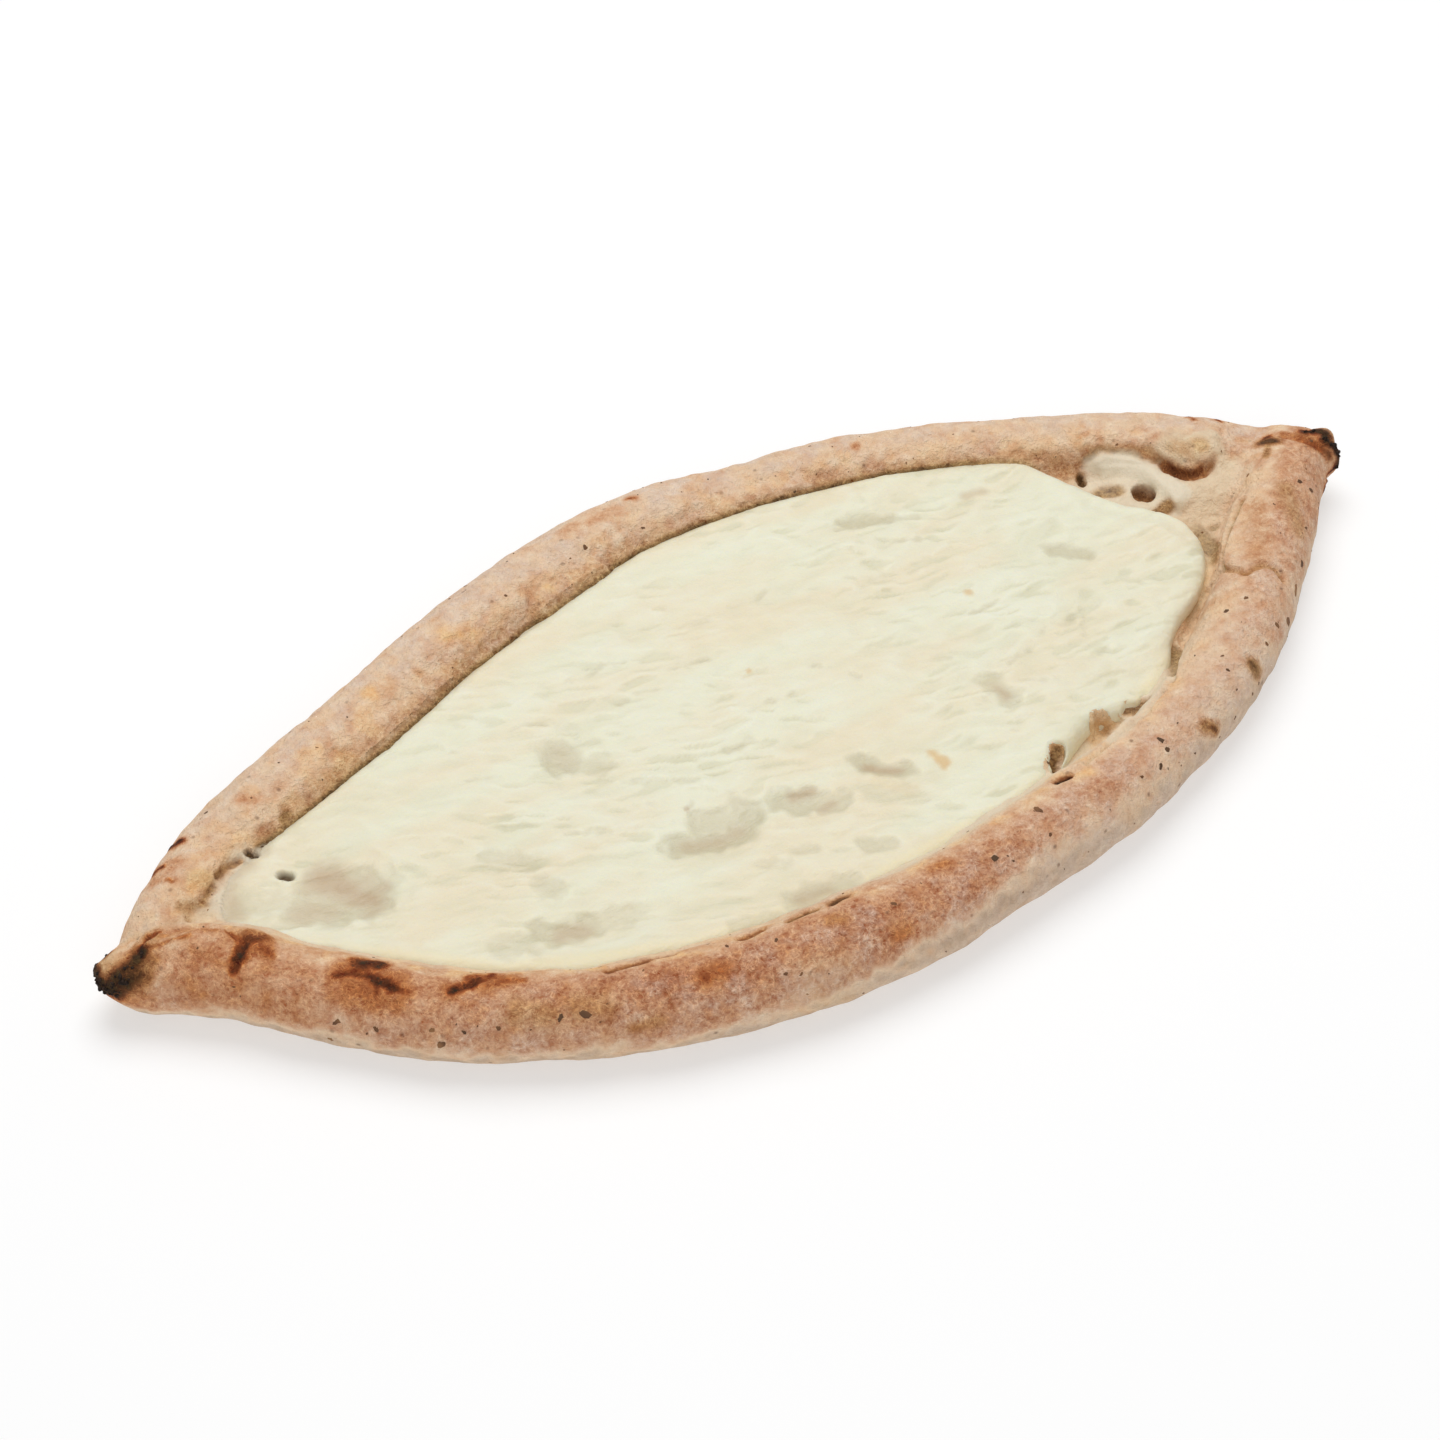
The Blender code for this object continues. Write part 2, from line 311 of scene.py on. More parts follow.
# Scorches on the crust: photo pixels that they run through, reach in mm, and how dark they go.
SCORCHES = {
    "left tip, rim": ((102, 960, 96, 974, 98, 986, 106, 995), 3.0, 1.0),
    "left tip, low rim": ((122, 999, 146, 1003), 2.4, 0.54),
    "nose outline": ((138, 949, 141, 942, 148, 935, 158, 930), 0.8, 0.84),
    "nose, inner line": ((146, 947, 156, 946, 170, 940, 188, 936), 0.8, 0.68),
    "nose top": ((160, 935, 190, 930, 216, 930), 1.6, 0.56),
    "fold burn, spike": ((228, 931, 240, 941), 0.7, 0.82),
    "fold burn, stem": ((244, 942, 240, 956), 1.9, 0.89),
    "fold burn, foot": ((238, 961, 233, 972), 1.0, 0.86),
    "fold burn, bar": ((242, 940, 258, 939), 1.3, 0.86),
    "fold burn, tail": ((262, 948, 273, 956), 0.8, 0.68),
    "second burn, core": ((358, 963, 380, 964), 1.9, 0.90),
    "second burn, red line": ((334, 976, 350, 973, 372, 977), 0.9, 0.78),
    "second burn, lower core": ((376, 981, 386, 984, 394, 988), 1.6, 0.87),
    "second burn, lower tail": ((396, 989, 408, 993), 0.8, 0.74),
    "second burn, lower drop": ((376, 984, 377, 992), 0.6, 0.76),
    "third burn": ((453, 990, 470, 985, 480, 980), 1.3, 0.88),
    "third burn, cap": ((470, 979, 492, 977), 1.7, 0.74),
    "third burn, tail": ((484, 985, 506, 981, 524, 980), 0.8, 0.66),
    "left near toast": ((190, 985, 250, 1000, 300, 1010), 4.2, 0.50),
    "far roll left char, upper": ((162, 856, 170, 848, 181, 841), 1.1, 0.87),
    "far roll left char, lower": ((148, 881, 155, 873, 162, 867), 1.1, 0.87),
    "far roll left fleck": ((168, 879, 172, 881), 0.6, 0.72),
    "blot under the first slit": ((708, 977, 716, 972), 1.6, 0.68),
    "olive spot upper, core": ((1250, 662, 1255, 667), 0.7, 0.78),
    "olive spot lower, core": ((1211, 727, 1216, 732), 0.8, 0.82),
    "corner spot, core": ((1262, 441, 1268, 437, 1273, 442), 1.1, 0.77),
    "right corner, top rim": ((1304, 432, 1316, 431, 1326, 436), 1.8, 0.94),
    "right corner, side rim": ((1326, 442, 1336, 452, 1336, 462), 1.9, 0.96),
    "right corner, low rim": ((1335, 466, 1330, 482, 1324, 492), 0.9, 0.88),
    "far roll dark crest": ((1188, 417, 1206, 416, 1219, 421), 1.0, 0.80),
    "far roll dark dot": ((1194, 420), 0.9, 0.82),
    "far roll pinprick": ((1252, 426), 0.7, 0.70),
    "far roll golden spots": ((1080, 437, 1088, 434), 0.9, 0.46),
    "far roll dark spot": ((628, 499, 634, 498), 0.9, 0.66),
}

# Soft toasted stains, and painted shade under folds, shoulders and lobes and in hollows and grooves:
# photo pixels, reach in mm, how dark, and how much they lean to olive.
STAINS_AND_SHADES = {
    "left tip, patch": ((139, 957, 128, 973, 116, 988), 3.9, 0.95, 0.5),
    "left tip, fade": ((138, 978, 142, 968), 4.0, 0.66, 0.6),
    "fold burn, grey cap": ((248, 934, 264, 937), 3.0, 0.70, 0.25),
    "fold burn, red field": ((252, 948, 266, 951), 3.6, 0.61, 0.0),
    "fold burn, field": ((224, 950, 240, 966, 262, 962), 4.2, 0.49, 0.0),
    "second burn, cap": ((358, 962, 380, 963), 2.8, 0.84, 0.2),
    "second burn, red field": ((348, 972, 370, 974, 394, 982), 5.0, 0.64, 0.0),
    "second burn, orange field": ((350, 990, 370, 998, 392, 996), 5.6, 0.61, 0.0),
    "third burn, field": ((452, 990, 478, 984, 510, 978), 2.8, 0.60, 0.0),
    "far roll left toast": ((156, 880, 176, 862), 3.4, 0.42, 0.0),
    "far roll orange, left": ((243, 799, 252, 800), 2.6, 0.42, 0.0),
    "blot, halo": ((706, 976, 722, 970), 3.2, 0.52, 0.0),
    "low orange blot": ((634, 1029, 646, 1024, 660, 1020), 1.9, 0.56, 0.3),
    "blot past the middle": ((830, 921, 842, 918), 2.6, 0.58, 0.2),
    "olive shade, low": ((516, 1012, 546, 1018), 4.4, 0.50, 0.35),
    "olive shade, right of it": ((578, 1008, 604, 1006), 4.0, 0.50, 0.3),
    "red blot": ((897, 936, 908, 930), 3.0, 0.58, 0.0),
    "red blot upper": ((934, 869, 950, 862), 3.2, 0.56, 0.0),
    "olive spot upper": ((1252, 664, 1257, 672), 2.8, 0.66, 0.8),
    "olive spot lower": ((1206, 726, 1216, 730), 2.8, 0.64, 0.6),
    "right corner, inner shade": ((1300, 437, 1316, 445, 1328, 454), 2.6, 0.72, 0.4),
    "right corner, red arc": ((1283, 434, 1302, 438, 1318, 446), 1.8, 0.56, 0.1),
    "dark spot by the corner": ((1265, 442, 1273, 441), 3.2, 0.82, 0.7),
    "dark spot, tail": ((1268, 444, 1266, 456), 1.3, 0.54, 0.6),
    "right roll, tan patch": ((1284, 488, 1294, 512, 1300, 530), 3.4, 0.46, 0.4),
    "right roll, tan top": ((1257, 505, 1262, 530, 1256, 556), 3.4, 0.42, 0.1),
    "far roll red patch": ((568, 531, 592, 519, 614, 509), 3.6, 0.37, 0.0),
    "far roll red blot": ((855, 446), 2.0, 0.50, 0.0),
    # From here to the dimple, painted shade: under the shoulder, on and under the lobe, by the hollow, in
    # the groove.
    "behind the blister": ((1086, 462, 1096, 454, 1120, 449, 1150, 452), 1.8, 0.38, 0.5),
    "lobe, under side": ((1156, 462, 1186, 466, 1212, 459), 1.9, 0.46, 0.4),
    "lobe, shade": ((1168, 468, 1180, 473, 1191, 474, 1201, 469), 2.0, 0.76, 0.4),
    "shade by the hollow": ((1196, 530, 1208, 546, 1214, 560), 3.0, 0.44, 0.9),
    "groove shade, right": ((1196, 590, 1184, 615, 1172, 645, 1166, 676), 1.8, 0.32, 0.4),
    "dimple shade": ((1172, 500, 1166, 512, 1156, 518), 2.0, 0.44, 0.4),
    "left sheet, low shade": ((186, 906, 206, 908, 226, 906), 2.6, 0.40, 0.6),
    "left sheet, high shade": ((196, 876, 214, 880), 2.8, 0.36, 0.4),
}

# Folds and slits in the skin: photo pixels, half width and depth in mm, how dark, and how olive. Their
# dark is scorch in the burns' folds and cracks, and painted shade in the other folds, slits and grooves.
CREASES = {
    "nose fold": ((138, 951, 143, 940, 158, 930, 187, 927, 230, 927), 0.9, 0.9, 0.50, 0.0),
    "fold burn": ((231, 931, 243, 944, 234, 971), 0.8, 0.9, 0.70, 0.0),
    "first slit": ((609, 969, 626, 964, 655, 957, 671, 953), 1.3, 0.8, 0.70, 0.4),
    "second slit": ((741, 936, 749, 933, 759, 929), 1.3, 0.8, 0.68, 0.4),
    "third slit": ((789, 919, 799, 914, 814, 908), 1.2, 0.8, 0.68, 0.7),
    "fourth slit": ((832, 900, 837, 897, 842, 895), 1.5, 0.9, 0.80, 0.7),
    "second burn crack": ((340, 975, 352, 972, 366, 976), 0.5, 0.5, 0.66, 0.0),
    "second burn lower crack": ((378, 983, 390, 987, 402, 991), 0.5, 0.5, 0.70, 0.0),
    "third burn crack": ((456, 990, 470, 984, 488, 979), 0.5, 0.5, 0.70, 0.0),
    "bend of the near roll": ((1222, 569, 1246, 572, 1262, 563, 1276, 567, 1284, 580), 0.8, 0.9, 0.50, 0.5),
    "corner wrinkle": ((1284, 436, 1302, 440, 1322, 449), 0.8, 0.6, 0.56, 0.0),
    "left sheet wrinkle": ((218, 876, 226, 867, 240, 861), 0.8, 0.8, 0.58, 0.7),
    "left sheet nick": ((203, 902, 209, 893, 213, 888), 0.8, 0.7, 0.56, 0.7),
    "left sheet hook": ((180, 906, 194, 907), 0.9, 0.6, 0.46, 0.6),
    "left sheet hook, stem": ((186, 908, 189, 920), 0.9, 0.5, 0.46, 0.6),
    "left sheet fold": ((194, 907, 206, 904, 216, 902), 0.6, 0.5, 0.46, 0.7),
    "behind the blister": ((1088, 459, 1100, 449, 1130, 455, 1158, 460), 0.7, 0.8, 0.36, 0.7),
    "under the lobe": ((1162, 464, 1174, 473, 1188, 477, 1203, 473, 1212, 465), 0.9, 1.2, 0.64, 0.4),
    "right groove, upper": ((1221, 566, 1208, 588, 1196, 610, 1184, 640, 1170, 680), 0.9, 1.2, 0.25, 0.3),
    "right groove, lower": ((1160, 692, 1147, 710, 1120, 730, 1085, 763), 0.7, 1.0, 0.32, 0.5),
    "edge of the bulge": ((1241, 498, 1228, 528, 1221, 552, 1221, 568), 0.8, 1.2, 0.44, 0.8),
}

# Burst bubbles and pits: photo pixels, radius and depth in mm, how dark, and how olive. Their dark is
# partly toast and partly painted shade down in them.
PITS = {
    "large hole": ((1140, 496, 1146, 498), 2.1, 1.9, 0.71, 0.65),
    "small hole": ((1080, 478, 1082, 484), 1.0, 1.5, 0.72, 0.9),
    "pinprick": ((1131, 515), 0.6, 0.8, 0.66, 1.0),
    "dimple": ((1168, 506, 1158, 514), 1.8, 0.6, 0.60, 0.8),
    "grey hollow": ((1098, 493, 1118, 490), 2.0, 0.7, 0.56, 0.9),
    "olive hollow": ((1201, 538, 1212, 549), 2.0, 1.0, 0.50, 1.0),
    "olive hollow, small": ((1214, 528), 1.2, 0.6, 0.48, 1.0),
    "pit by the strip": ((1186, 612), 0.9, 0.8, 0.60, 0.8),
    "wedge by the cheese": ((1176, 648, 1170, 672), 1.2, 1.6, 0.54, 1.0),
    "pit by the ledge": ((1126, 710, 1144, 702), 1.7, 1.1, 0.58, 0.8),
    "crescent pit": ((1098, 717, 1097, 726, 1105, 732), 1.3, 0.8, 0.32, 0.5),
    "brown pit": ((1060, 750, 1056, 762, 1058, 770), 2.0, 1.3, 0.66, 0.9),
    "black pit": ((1058, 779, 1067, 776), 1.3, 1.4, 0.97, 0.5),
    "left hole": ((249, 853, 255, 856), 1.0, 1.4, 0.97, 0.6),
    "left edge pit": ((283, 820, 288, 815), 1.1, 0.6, 0.56, 0.8),
}

# Whitish skin where thin cheese has soaked the dough: photo pixels, reach in mm and strength.
FILMS = {
    "blister, top": ((1098, 466, 1124, 464, 1148, 471, 1168, 485, 1180, 493), 3.4, 0.92),
    "blister, below": ((1094, 484, 1122, 482, 1150, 494, 1168, 504), 4.0, 0.75),
    "under the hole": ((1112, 504, 1130, 510, 1156, 518), 3.4, 0.75),
    "beside the blister": ((1196, 494, 1210, 484, 1228, 472), 4.4, 0.35),
    "by the bulge": ((1190, 516, 1214, 508), 3.6, 0.30),
    "left film": ((252, 864, 236, 882, 228, 902, 240, 916), 4.6, 0.80),
    "left film, low": ((204, 916, 232, 916), 2.4, 0.40),
    "above the ledge": ((1080, 748, 1110, 736, 1150, 700), 3.0, 0.55),
}

# Golden places, where fat has run over the crust: photo pixels and reach in mm. All are baked alike.
GOLDS = {
    "top of the lobe": ((1176, 448, 1190, 451, 1202, 447), 3.2),
    "far roll, middle": ((532, 588, 554, 580), 4.0),
    "far roll, left": ((446, 636, 468, 630), 3.6),
    "far roll, low left": ((366, 694, 388, 686), 3.8),
    "left sheet": ((176, 892, 196, 884, 214, 868), 4.6),
    "low left of the sheet": ((180, 930, 214, 926), 2.6),
    "above the first slit": ((560, 972, 600, 967), 1.8),
    "between the slits": ((676, 955, 716, 947), 1.8),
    "beside the black pit": ((1078, 778, 1092, 770), 2.2),
}
GOLD_BAKE = 0.33

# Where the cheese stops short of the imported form: photo pixels and reach in mm. The cheese sinks by one
# depth in all of them, and the dough below rises a little further round them, in mm.
CHEESE_GAPS = {
    "left end": ((208, 920, 206, 896, 216, 872, 232, 852, 248, 842), 2.6),
    "hole at the left end": ((249, 853, 255, 856), 1.2),
    "brown pit": ((1058, 750, 1055, 762, 1058, 774), 2.3),
    "crescent pit": ((1099, 720, 1102, 727), 2.4),
    "pit by the ledge": ((1126, 710, 1144, 702), 1.8),
}
GAP_DEPTH = 2.4
GAP_MARGIN = 1.5

# Where the cheese runs out thin over the dough: photo pixels, reach, the most it sinks and the most
# that the dough lies below its top, in mm. The dough rises a little further round them too.
THIN_EDGES = {
    "left end": ((210, 914, 214, 884, 234, 858, 256, 842), 9.0, 1.6, 0.9),
    "right end, top": ((1092, 506, 1130, 514, 1165, 522, 1186, 534), 3.4, 0.8, 2.5),
    "right end, foot": ((1168, 676, 1130, 712, 1092, 738, 1062, 768), 3.4, 0.8, 2.5),
}
THIN_MARGIN = 2

# Sunken wet places on the cheese: photo pixels, reach and depth in mm, and how thin they look.
DENTS = {
    "egg": ((556, 754, 560, 762, 566, 765), 5.0, 0.6, 0.80),
    "egg, tail": ((580, 766, 606, 768), 3.6, 0.3, 0.60),
    "above the egg": ((562, 728, 572, 732), 3.0, 0.2, 0.30),
    "comb": ((676, 848, 706, 847, 736, 838, 748, 822), 3.8, 0.9, 1.0),
    "comb, upper": ((706, 830, 732, 824, 746, 814), 5.2, 0.5, 0.80),
    "pair, left": ((782, 802, 798, 808), 4.0, 0.7, 0.90),
    "pair, right": ((820, 806, 842, 804), 3.2, 0.5, 0.75),
    "pair, below": ((764, 864, 786, 864), 2.2, 0.3, 0.42),
    "streaked": ((862, 764, 880, 770, 902, 772), 3.0, 0.6, 1.0),
    "streaked, foot": ((880, 792, 920, 794), 4.0, 0.2, 0.36),
    "left streak": ((490, 862, 512, 864, 530, 868), 3.6, 0.4, 0.60),
    "left streak, lower": ((540, 884, 552, 894), 3.6, 0.4, 0.60),
    "low trough": ((540, 936, 566, 934, 590, 928), 4.0, 0.6, 0.90),
    "low trough, right": ((600, 924, 632, 918), 3.6, 0.3, 0.55),
    "low trough, end": ((500, 950, 530, 944), 3.8, 0.3, 0.60),
    "near the slits": ((796, 902, 822, 892, 852, 884), 3.6, 0.4, 0.80),
    "near the first slits": ((736, 930, 776, 922), 2.6, 0.3, 0.65),
    "small, right": ((866, 847, 890, 845), 2.4, 0.3, 0.70),
    "small, left of it": ((798, 852, 810, 850), 2.6, 0.3, 0.50),
    "far streak": ((846, 526, 866, 523, 888, 521), 2.4, 0.5, 0.90),
    "far streak, end": ((838, 532, 862, 524, 916, 519), 1.4, 0.3, 0.60),
    "right streak": ((1050, 550, 1072, 554, 1088, 556), 2.6, 0.4, 0.85),
    "right dimple": ((992, 684, 1008, 698), 3.6, 0.4, 0.75),
    "grey patch": ((330, 890, 352, 886, 376, 896), 7.0, 0.6, 0.75),
    "grey patch, low": ((296, 916, 330, 914, 368, 908), 5.0, 0.4, 0.75),
    "grey patch, left": ((240, 904, 262, 908, 290, 906), 4.6, 0.3, 0.50),
    "grey patch, pit": ((343, 887, 348, 889), 1.6, 0.5, 1.0),
    "grey patch, right pit": ((366, 894, 376, 900), 2.4, 0.5, 1.0),
}

# Single wrinkles in the cheese: photo pixels, reach in mm and how dark their painted shade is, in the thin
# cheese's colour. All have one depth in mm.
WRINKLES = (
    ((877, 540, 900, 543, 919, 541), 1.3, 0.8),
    ((833, 553, 850, 551), 1.2, 0.8),
    ((864, 584, 886, 580, 908, 576), 2.6, 0.4),
    ((756, 602, 766, 591), 1.2, 0.8),
    ((732, 609, 744, 605), 1.2, 0.6),
    ((645, 630, 684, 632, 719, 614), 1.8, 0.4),
    ((972, 616, 984, 611, 998, 603), 1.2, 0.9),
    ((1052, 622, 1064, 625, 1072, 619), 1.9, 1.0),
    ((1045, 628, 1040, 641, 1028, 652, 1010, 664), 1.2, 0.8),
    ((1082, 610, 1085, 636), 1.2, 0.5),
    ((1080, 664, 1100, 656, 1110, 644), 1.0, 0.5),
    ((1142, 584, 1152, 581, 1166, 575), 1.5, 0.6),
    ((1160, 606, 1164, 618), 1.9, 0.5),
    ((938, 661, 950, 660), 1.2, 0.6),
    ((1024, 682, 1056, 681), 1.3, 0.6),
    ((986, 701, 1008, 703), 1.5, 1.0),
    ((812, 669, 820, 667), 1.3, 0.9),
    ((852, 677, 858, 679), 1.2, 0.7),
    ((750, 714, 770, 703, 792, 696), 1.4, 0.6),
    ((668, 673, 692, 664, 717, 658), 1.2, 0.9),
    ((572, 684, 591, 678, 603, 667, 623, 665), 1.3, 0.8),
    ((605, 702, 616, 706, 628, 701), 1.2, 0.9),
    ((634, 696, 656, 691), 1.0, 0.6),
    ((508, 733, 524, 727, 546, 726), 1.0, 0.7),
    ((450, 755, 467, 755), 1.0, 0.7),
    ((572, 735, 575, 737), 1.4, 0.9),
    ((728, 754, 738, 750, 749, 741), 1.5, 0.9),
    ((625, 785, 656, 780, 690, 784, 712, 776), 1.4, 0.6),
    ((467, 783, 499, 778), 1.0, 0.6),
    ((687, 811, 694, 804), 1.1, 1.0),
    ((635, 807, 676, 806), 1.0, 0.6),
    ((568, 836, 600, 835, 645, 829), 1.1, 0.7),
    ((801, 794, 814, 792), 1.1, 1.0),
    ((785, 868, 791, 863), 1.3, 0.9),
    ((832, 853, 856, 850), 1.1, 0.6),
)
WRINKLE_DEPTH = 0.25

# Where the dough shows through the cheese: photo pixels, reach in mm and strength.
SHOWS = {
    "grey patch": ((322, 880, 345, 892, 372, 898), 6.4, 0.66),
    "grey patch, low": ((300, 914, 334, 912), 4.4, 0.35),
    "lilac bump": ((334, 866, 340, 874), 2.4, 0.25),
    "left rim": ((258, 852, 234, 874, 222, 896, 226, 916), 5.0, 0.45),
    "comb": ((690, 846, 716, 842, 740, 832), 3.0, 0.35),
    "comb, crest": ((687, 811), 1.0, 0.60),
    "egg": ((556, 752, 564, 762), 5.0, 0.16),
    "pair": ((792, 798, 812, 793), 2.2, 0.55),
    "pair, right": ((822, 812, 832, 804), 2.0, 0.40),
    "streaked": ((866, 769, 900, 771), 1.8, 0.55),
    "low trough": ((560, 936, 586, 932), 3.0, 0.40),
    "near the slits": ((800, 902, 828, 892), 3.0, 0.40),
    "right dimple": ((998, 690, 1006, 698), 2.2, 0.45),
    "far, right": ((966, 498, 982, 494), 2.0, 0.35),
}

# Toasted spots on the cheese: photo pixels, reach in mm and strength.
SPOTS = {
    "yellow spot": ((934, 757, 944, 766), 1.8, 0.70),
    "yellow fleck": ((968, 595), 1.5, 0.60),
    "far dot": ((749, 673), 1.0, 0.60),
    "yellow drift": ((880, 782, 912, 790), 3.0, 0.12),
}

# The burst bubble in the cheese: photo pixels, radius and depth in mm. The dough down it is darkened with
# painted shade.
CHEESE_HOLE = (283, 877, 289, 878)
CHEESE_HOLE_RADIUS = 1.2
CHEESE_HOLE_DEPTH = 1.6

# Large bran flakes that the photo shows, by pixel, with their length in mm.
LARGE_FLAKES = {
    (336, 1022): 1.9, (376, 1029): 1.4, (432, 1030): 1.3, (441, 1045): 2.2, (464, 1032): 1.2,
    (330, 1039): 1.4, (498, 1028): 1.2, (560, 1018): 1.8, (585, 1014): 2.4, (894, 904): 1.6,
    (995, 858): 1.9, (1038, 810): 2.0, (1161, 740): 1.8, (1161, 766): 1.9, (1167, 749): 1.4,
    (1235, 718): 1.1, (1261, 697): 1.1, (1302, 564): 2.0, (1296, 590): 3.0, (1277, 625): 1.9,
    (1288, 621): 2.4, (1246, 598): 1.5, (1226, 611): 1.5, (1222, 656): 1.0, (1228, 670): 1.1,
    (1267, 644): 1.2, (1306, 528): 1.3, (1311, 490): 1.8, (1300, 482): 1.6, (1274, 504): 1.1,
    (1248, 475): 1.2, (481, 573): 1.8, (465, 586): 1.5, (643, 528): 1.2, (585, 547): 1.3,
    (786, 974): 1.2, (801, 974): 1.1, (727, 946): 1.1, (776, 940): 1.2, (1142, 777): 1.0,
}


def linear(hex_colour):
    """An sRGB hex colour as the linear light that shaders work in."""
    channels = [int(hex_colour[start:start + 2], 16) / 255 for start in (0, 2, 4)]
    return tuple(c / 12.92 if c <= 0.04045 else ((c + 0.055) / 1.055) ** 2.4 for c in channels)


def colour_property(name, description, hex_colour):
    return FloatVectorProperty(
        name=name, description=description, subtype="COLOR", size=3, min=0, max=1,
        default=linear(hex_colour))


def length_property(name, description, default):
    return FloatProperty(
        name=name, description=description, unit="LENGTH", default=default, min=0, precision=5)


class CrustSettings(bpy.types.PropertyGroup):
    """Sizes and colours of the baked dough"""

    detail: length_property("Detail", "Edge length of the crust's mesh", 0.62 * MM)
    lump_height: length_property("Lumps", "Height of the soft lumps in the rolls", 0.36 * MM)
    grain_height: length_property("Grain", "Height of the coarse flour grain", 0.16 * MM)
    crinkle_height: length_property("Crinkles", "Height of the sheet's crinkles", 0.40 * MM)
    char_height: length_property("Char nodules", "Height of the nodules where it is burnt", 0.50 * MM)
    lake_depth: length_property("Lake", "How far the dough lies under the cheese's top", 2.5 * MM)
    pale: colour_property("Pale dough", "Floury dough that the heat hardly reached", "CDB399")
    light: colour_property("Light crust", "Lightly baked crust", "EBCBA9")
    tan: colour_property("Tan crust", "Evenly baked crust", "D29D76")
    brown: colour_property("Toasted crust", "Well toasted crust", "BC7A4A")
    russet: colour_property("Scorched crust", "Reddish-brown scorch", "9A5228")
    dark: colour_property("Deep scorch", "Crust about to burn", "5E2E14")
    char: colour_property("Char", "Burnt tips", "2A1E12")
    golden: colour_property("Golden crust", "Crust that the cheese's fat has gilded", "F0C48E")
    flour: colour_property("Flour", "Dusting flour with a pinkish cast", "DDC5B3")
    speck: colour_property("Bran speck", "Fine bran in the dough", "7A5640")
    film: colour_property("Soaked skin", "Blistered skin that cheese has soaked", "E2D6BE")
    # Greasy dough, whose tones also give the olive side of the painted shade in folds, pits and along the
    # cheese.
    damp_pale: colour_property("Damp dough, pale", "Greasy dough in the light", "E0C69C")
    damp_mid: colour_property("Damp dough", "Greasy olive-brown dough in hollows", "A88658")
    damp_dark: colour_property("Damp dough, dark", "Greasy dough deep in a hollow", "4A3418")


class CheeseSettings(bpy.types.PropertyGroup):
    """Sizes and colours of the melted cheese"""

    detail: length_property("Detail", "Edge length of the cheese's mesh", 0.55 * MM)
    ripple_height: length_property("Ripples", "Height of the long ripples", 0.40 * MM)
    fold_height: length_property("Folds", "Height of the sharper folds", 0.26 * MM)
    wrinkle_height: length_property("Wrinkles", "Depth of the short wrinkles", 0.30 * MM)
    lump_height: length_property("Lumps", "Height of the soft lumps", 0.24 * MM)
    lie: FloatProperty(
        name="Lie", description="Turn of the wrinkles from the bread's long axis", unit="ROTATION",
        default=math.radians(-17.0))
    fan: FloatProperty(
        name="Fan", description="How far the wrinkles turn from one end to the other", unit="ROTATION",
        default=math.radians(16.0))
    cream: colour_property("Cream", "The cheese's main colour", "E7E5CD")
    # Painted light: whiter cheese on the wrinkles' crests.
    painted_crest_light: colour_property("Fresh", "Whiter cheese on the crests", "EBEBD9")
    buttery: colour_property("Buttery", "Fattier cheese", "E8DEC2")
    # Painted shade: greyer cheese in the wrinkles' grooves.
    groove: colour_property("Grooves", "Cheese in the wrinkles' grooves", "D6D2B4")
    rim: colour_property("Rim", "Fatty cheese against the near roll", "ECDDB4")
    # Thin wet cheese, whose colour also gives the painted shade in the wrinkles and along the far roll.
    thin: colour_property("Thin", "Thin wet cheese over dough", "C9C0A1")
    show: colour_property("Dough below", "Dough that shows through the cheese", "B99A78")
    spot: colour_property("Spots", "Toasted spots", "D8B070")
    # Painted shade: the dough down the burst bubble is this dark.
    hollow: colour_property("Hollow", "Dough seen down a burst bubble", "5E4622")


class BranSettings(bpy.types.PropertyGroup):
    """The bran in the crust"""

    count: IntProperty(
        name="Flakes", description="How many small flakes are scattered", default=160, min=0)
    smallest: length_property("Smallest", "Length of the smallest flake", 0.45 * MM)
    largest: length_property("Largest", "Length of the largest scattered flake", 1.1 * MM)
    thickness: length_property("Thickness", "Thickness of a flake", 0.14 * MM)
    colour: colour_property("Bran", "Toasted bran", "6E4728")


class CharSettings(bpy.types.PropertyGroup):
    """The burnt crumbs at the two tips"""

    count: IntProperty(name="Crumbs", description="How many crumbs sit at the tips", default=70, min=0)
    smallest: length_property("Smallest", "Radius of the smallest crumb", 0.25 * MM)
    largest: length_property("Largest", "Radius of the largest crumb", 0.6 * MM)
    colour: colour_property("Char", "Burnt crumb", "1C1410")


class StageSettings(bpy.types.PropertyGroup):
    """Floor and light"""

    floor: colour_property("Floor", "The pale floor", "C4C4C4")
    glow: FloatProperty(
        name="Glow", description="Light of its own that the lit white floor gives", default=0.45, min=0)
    key_power: FloatProperty(
        name="Key", description="Power of the overhead soft box", unit="POWER", default=7.8, min=0)
    fill_power: FloatProperty(
        name="Fill", description="Power of the front soft box", unit="POWER", default=2.8, min=0)
    sky: FloatProperty(
        name="Sky", description="Brightness of the white surroundings", default=0.38, min=0)


def merged_copy(node, name):
    """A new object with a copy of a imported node's mesh, its corners joined."""
    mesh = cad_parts[node].data.copy()
    mesh.materials.clear()
    work = bmesh.new()
    work.from_mesh(mesh)
    bmesh.ops.remove_doubles(work, verts=work.verts, dist=1e-6)
    work.to_mesh(mesh)
    work.free()
    return new_object(name, mesh)


def mesh_of(work, name):
    """The mesh that the work has come to, which ends it."""
    mesh = bpy.data.meshes.new(name)
    work.to_mesh(mesh)
    work.free()
    return mesh


def new_object(name, mesh):
    obj = bpy.data.objects.new(name, mesh)
    bpy.context.scene.collection.objects.link(obj)
    return obj


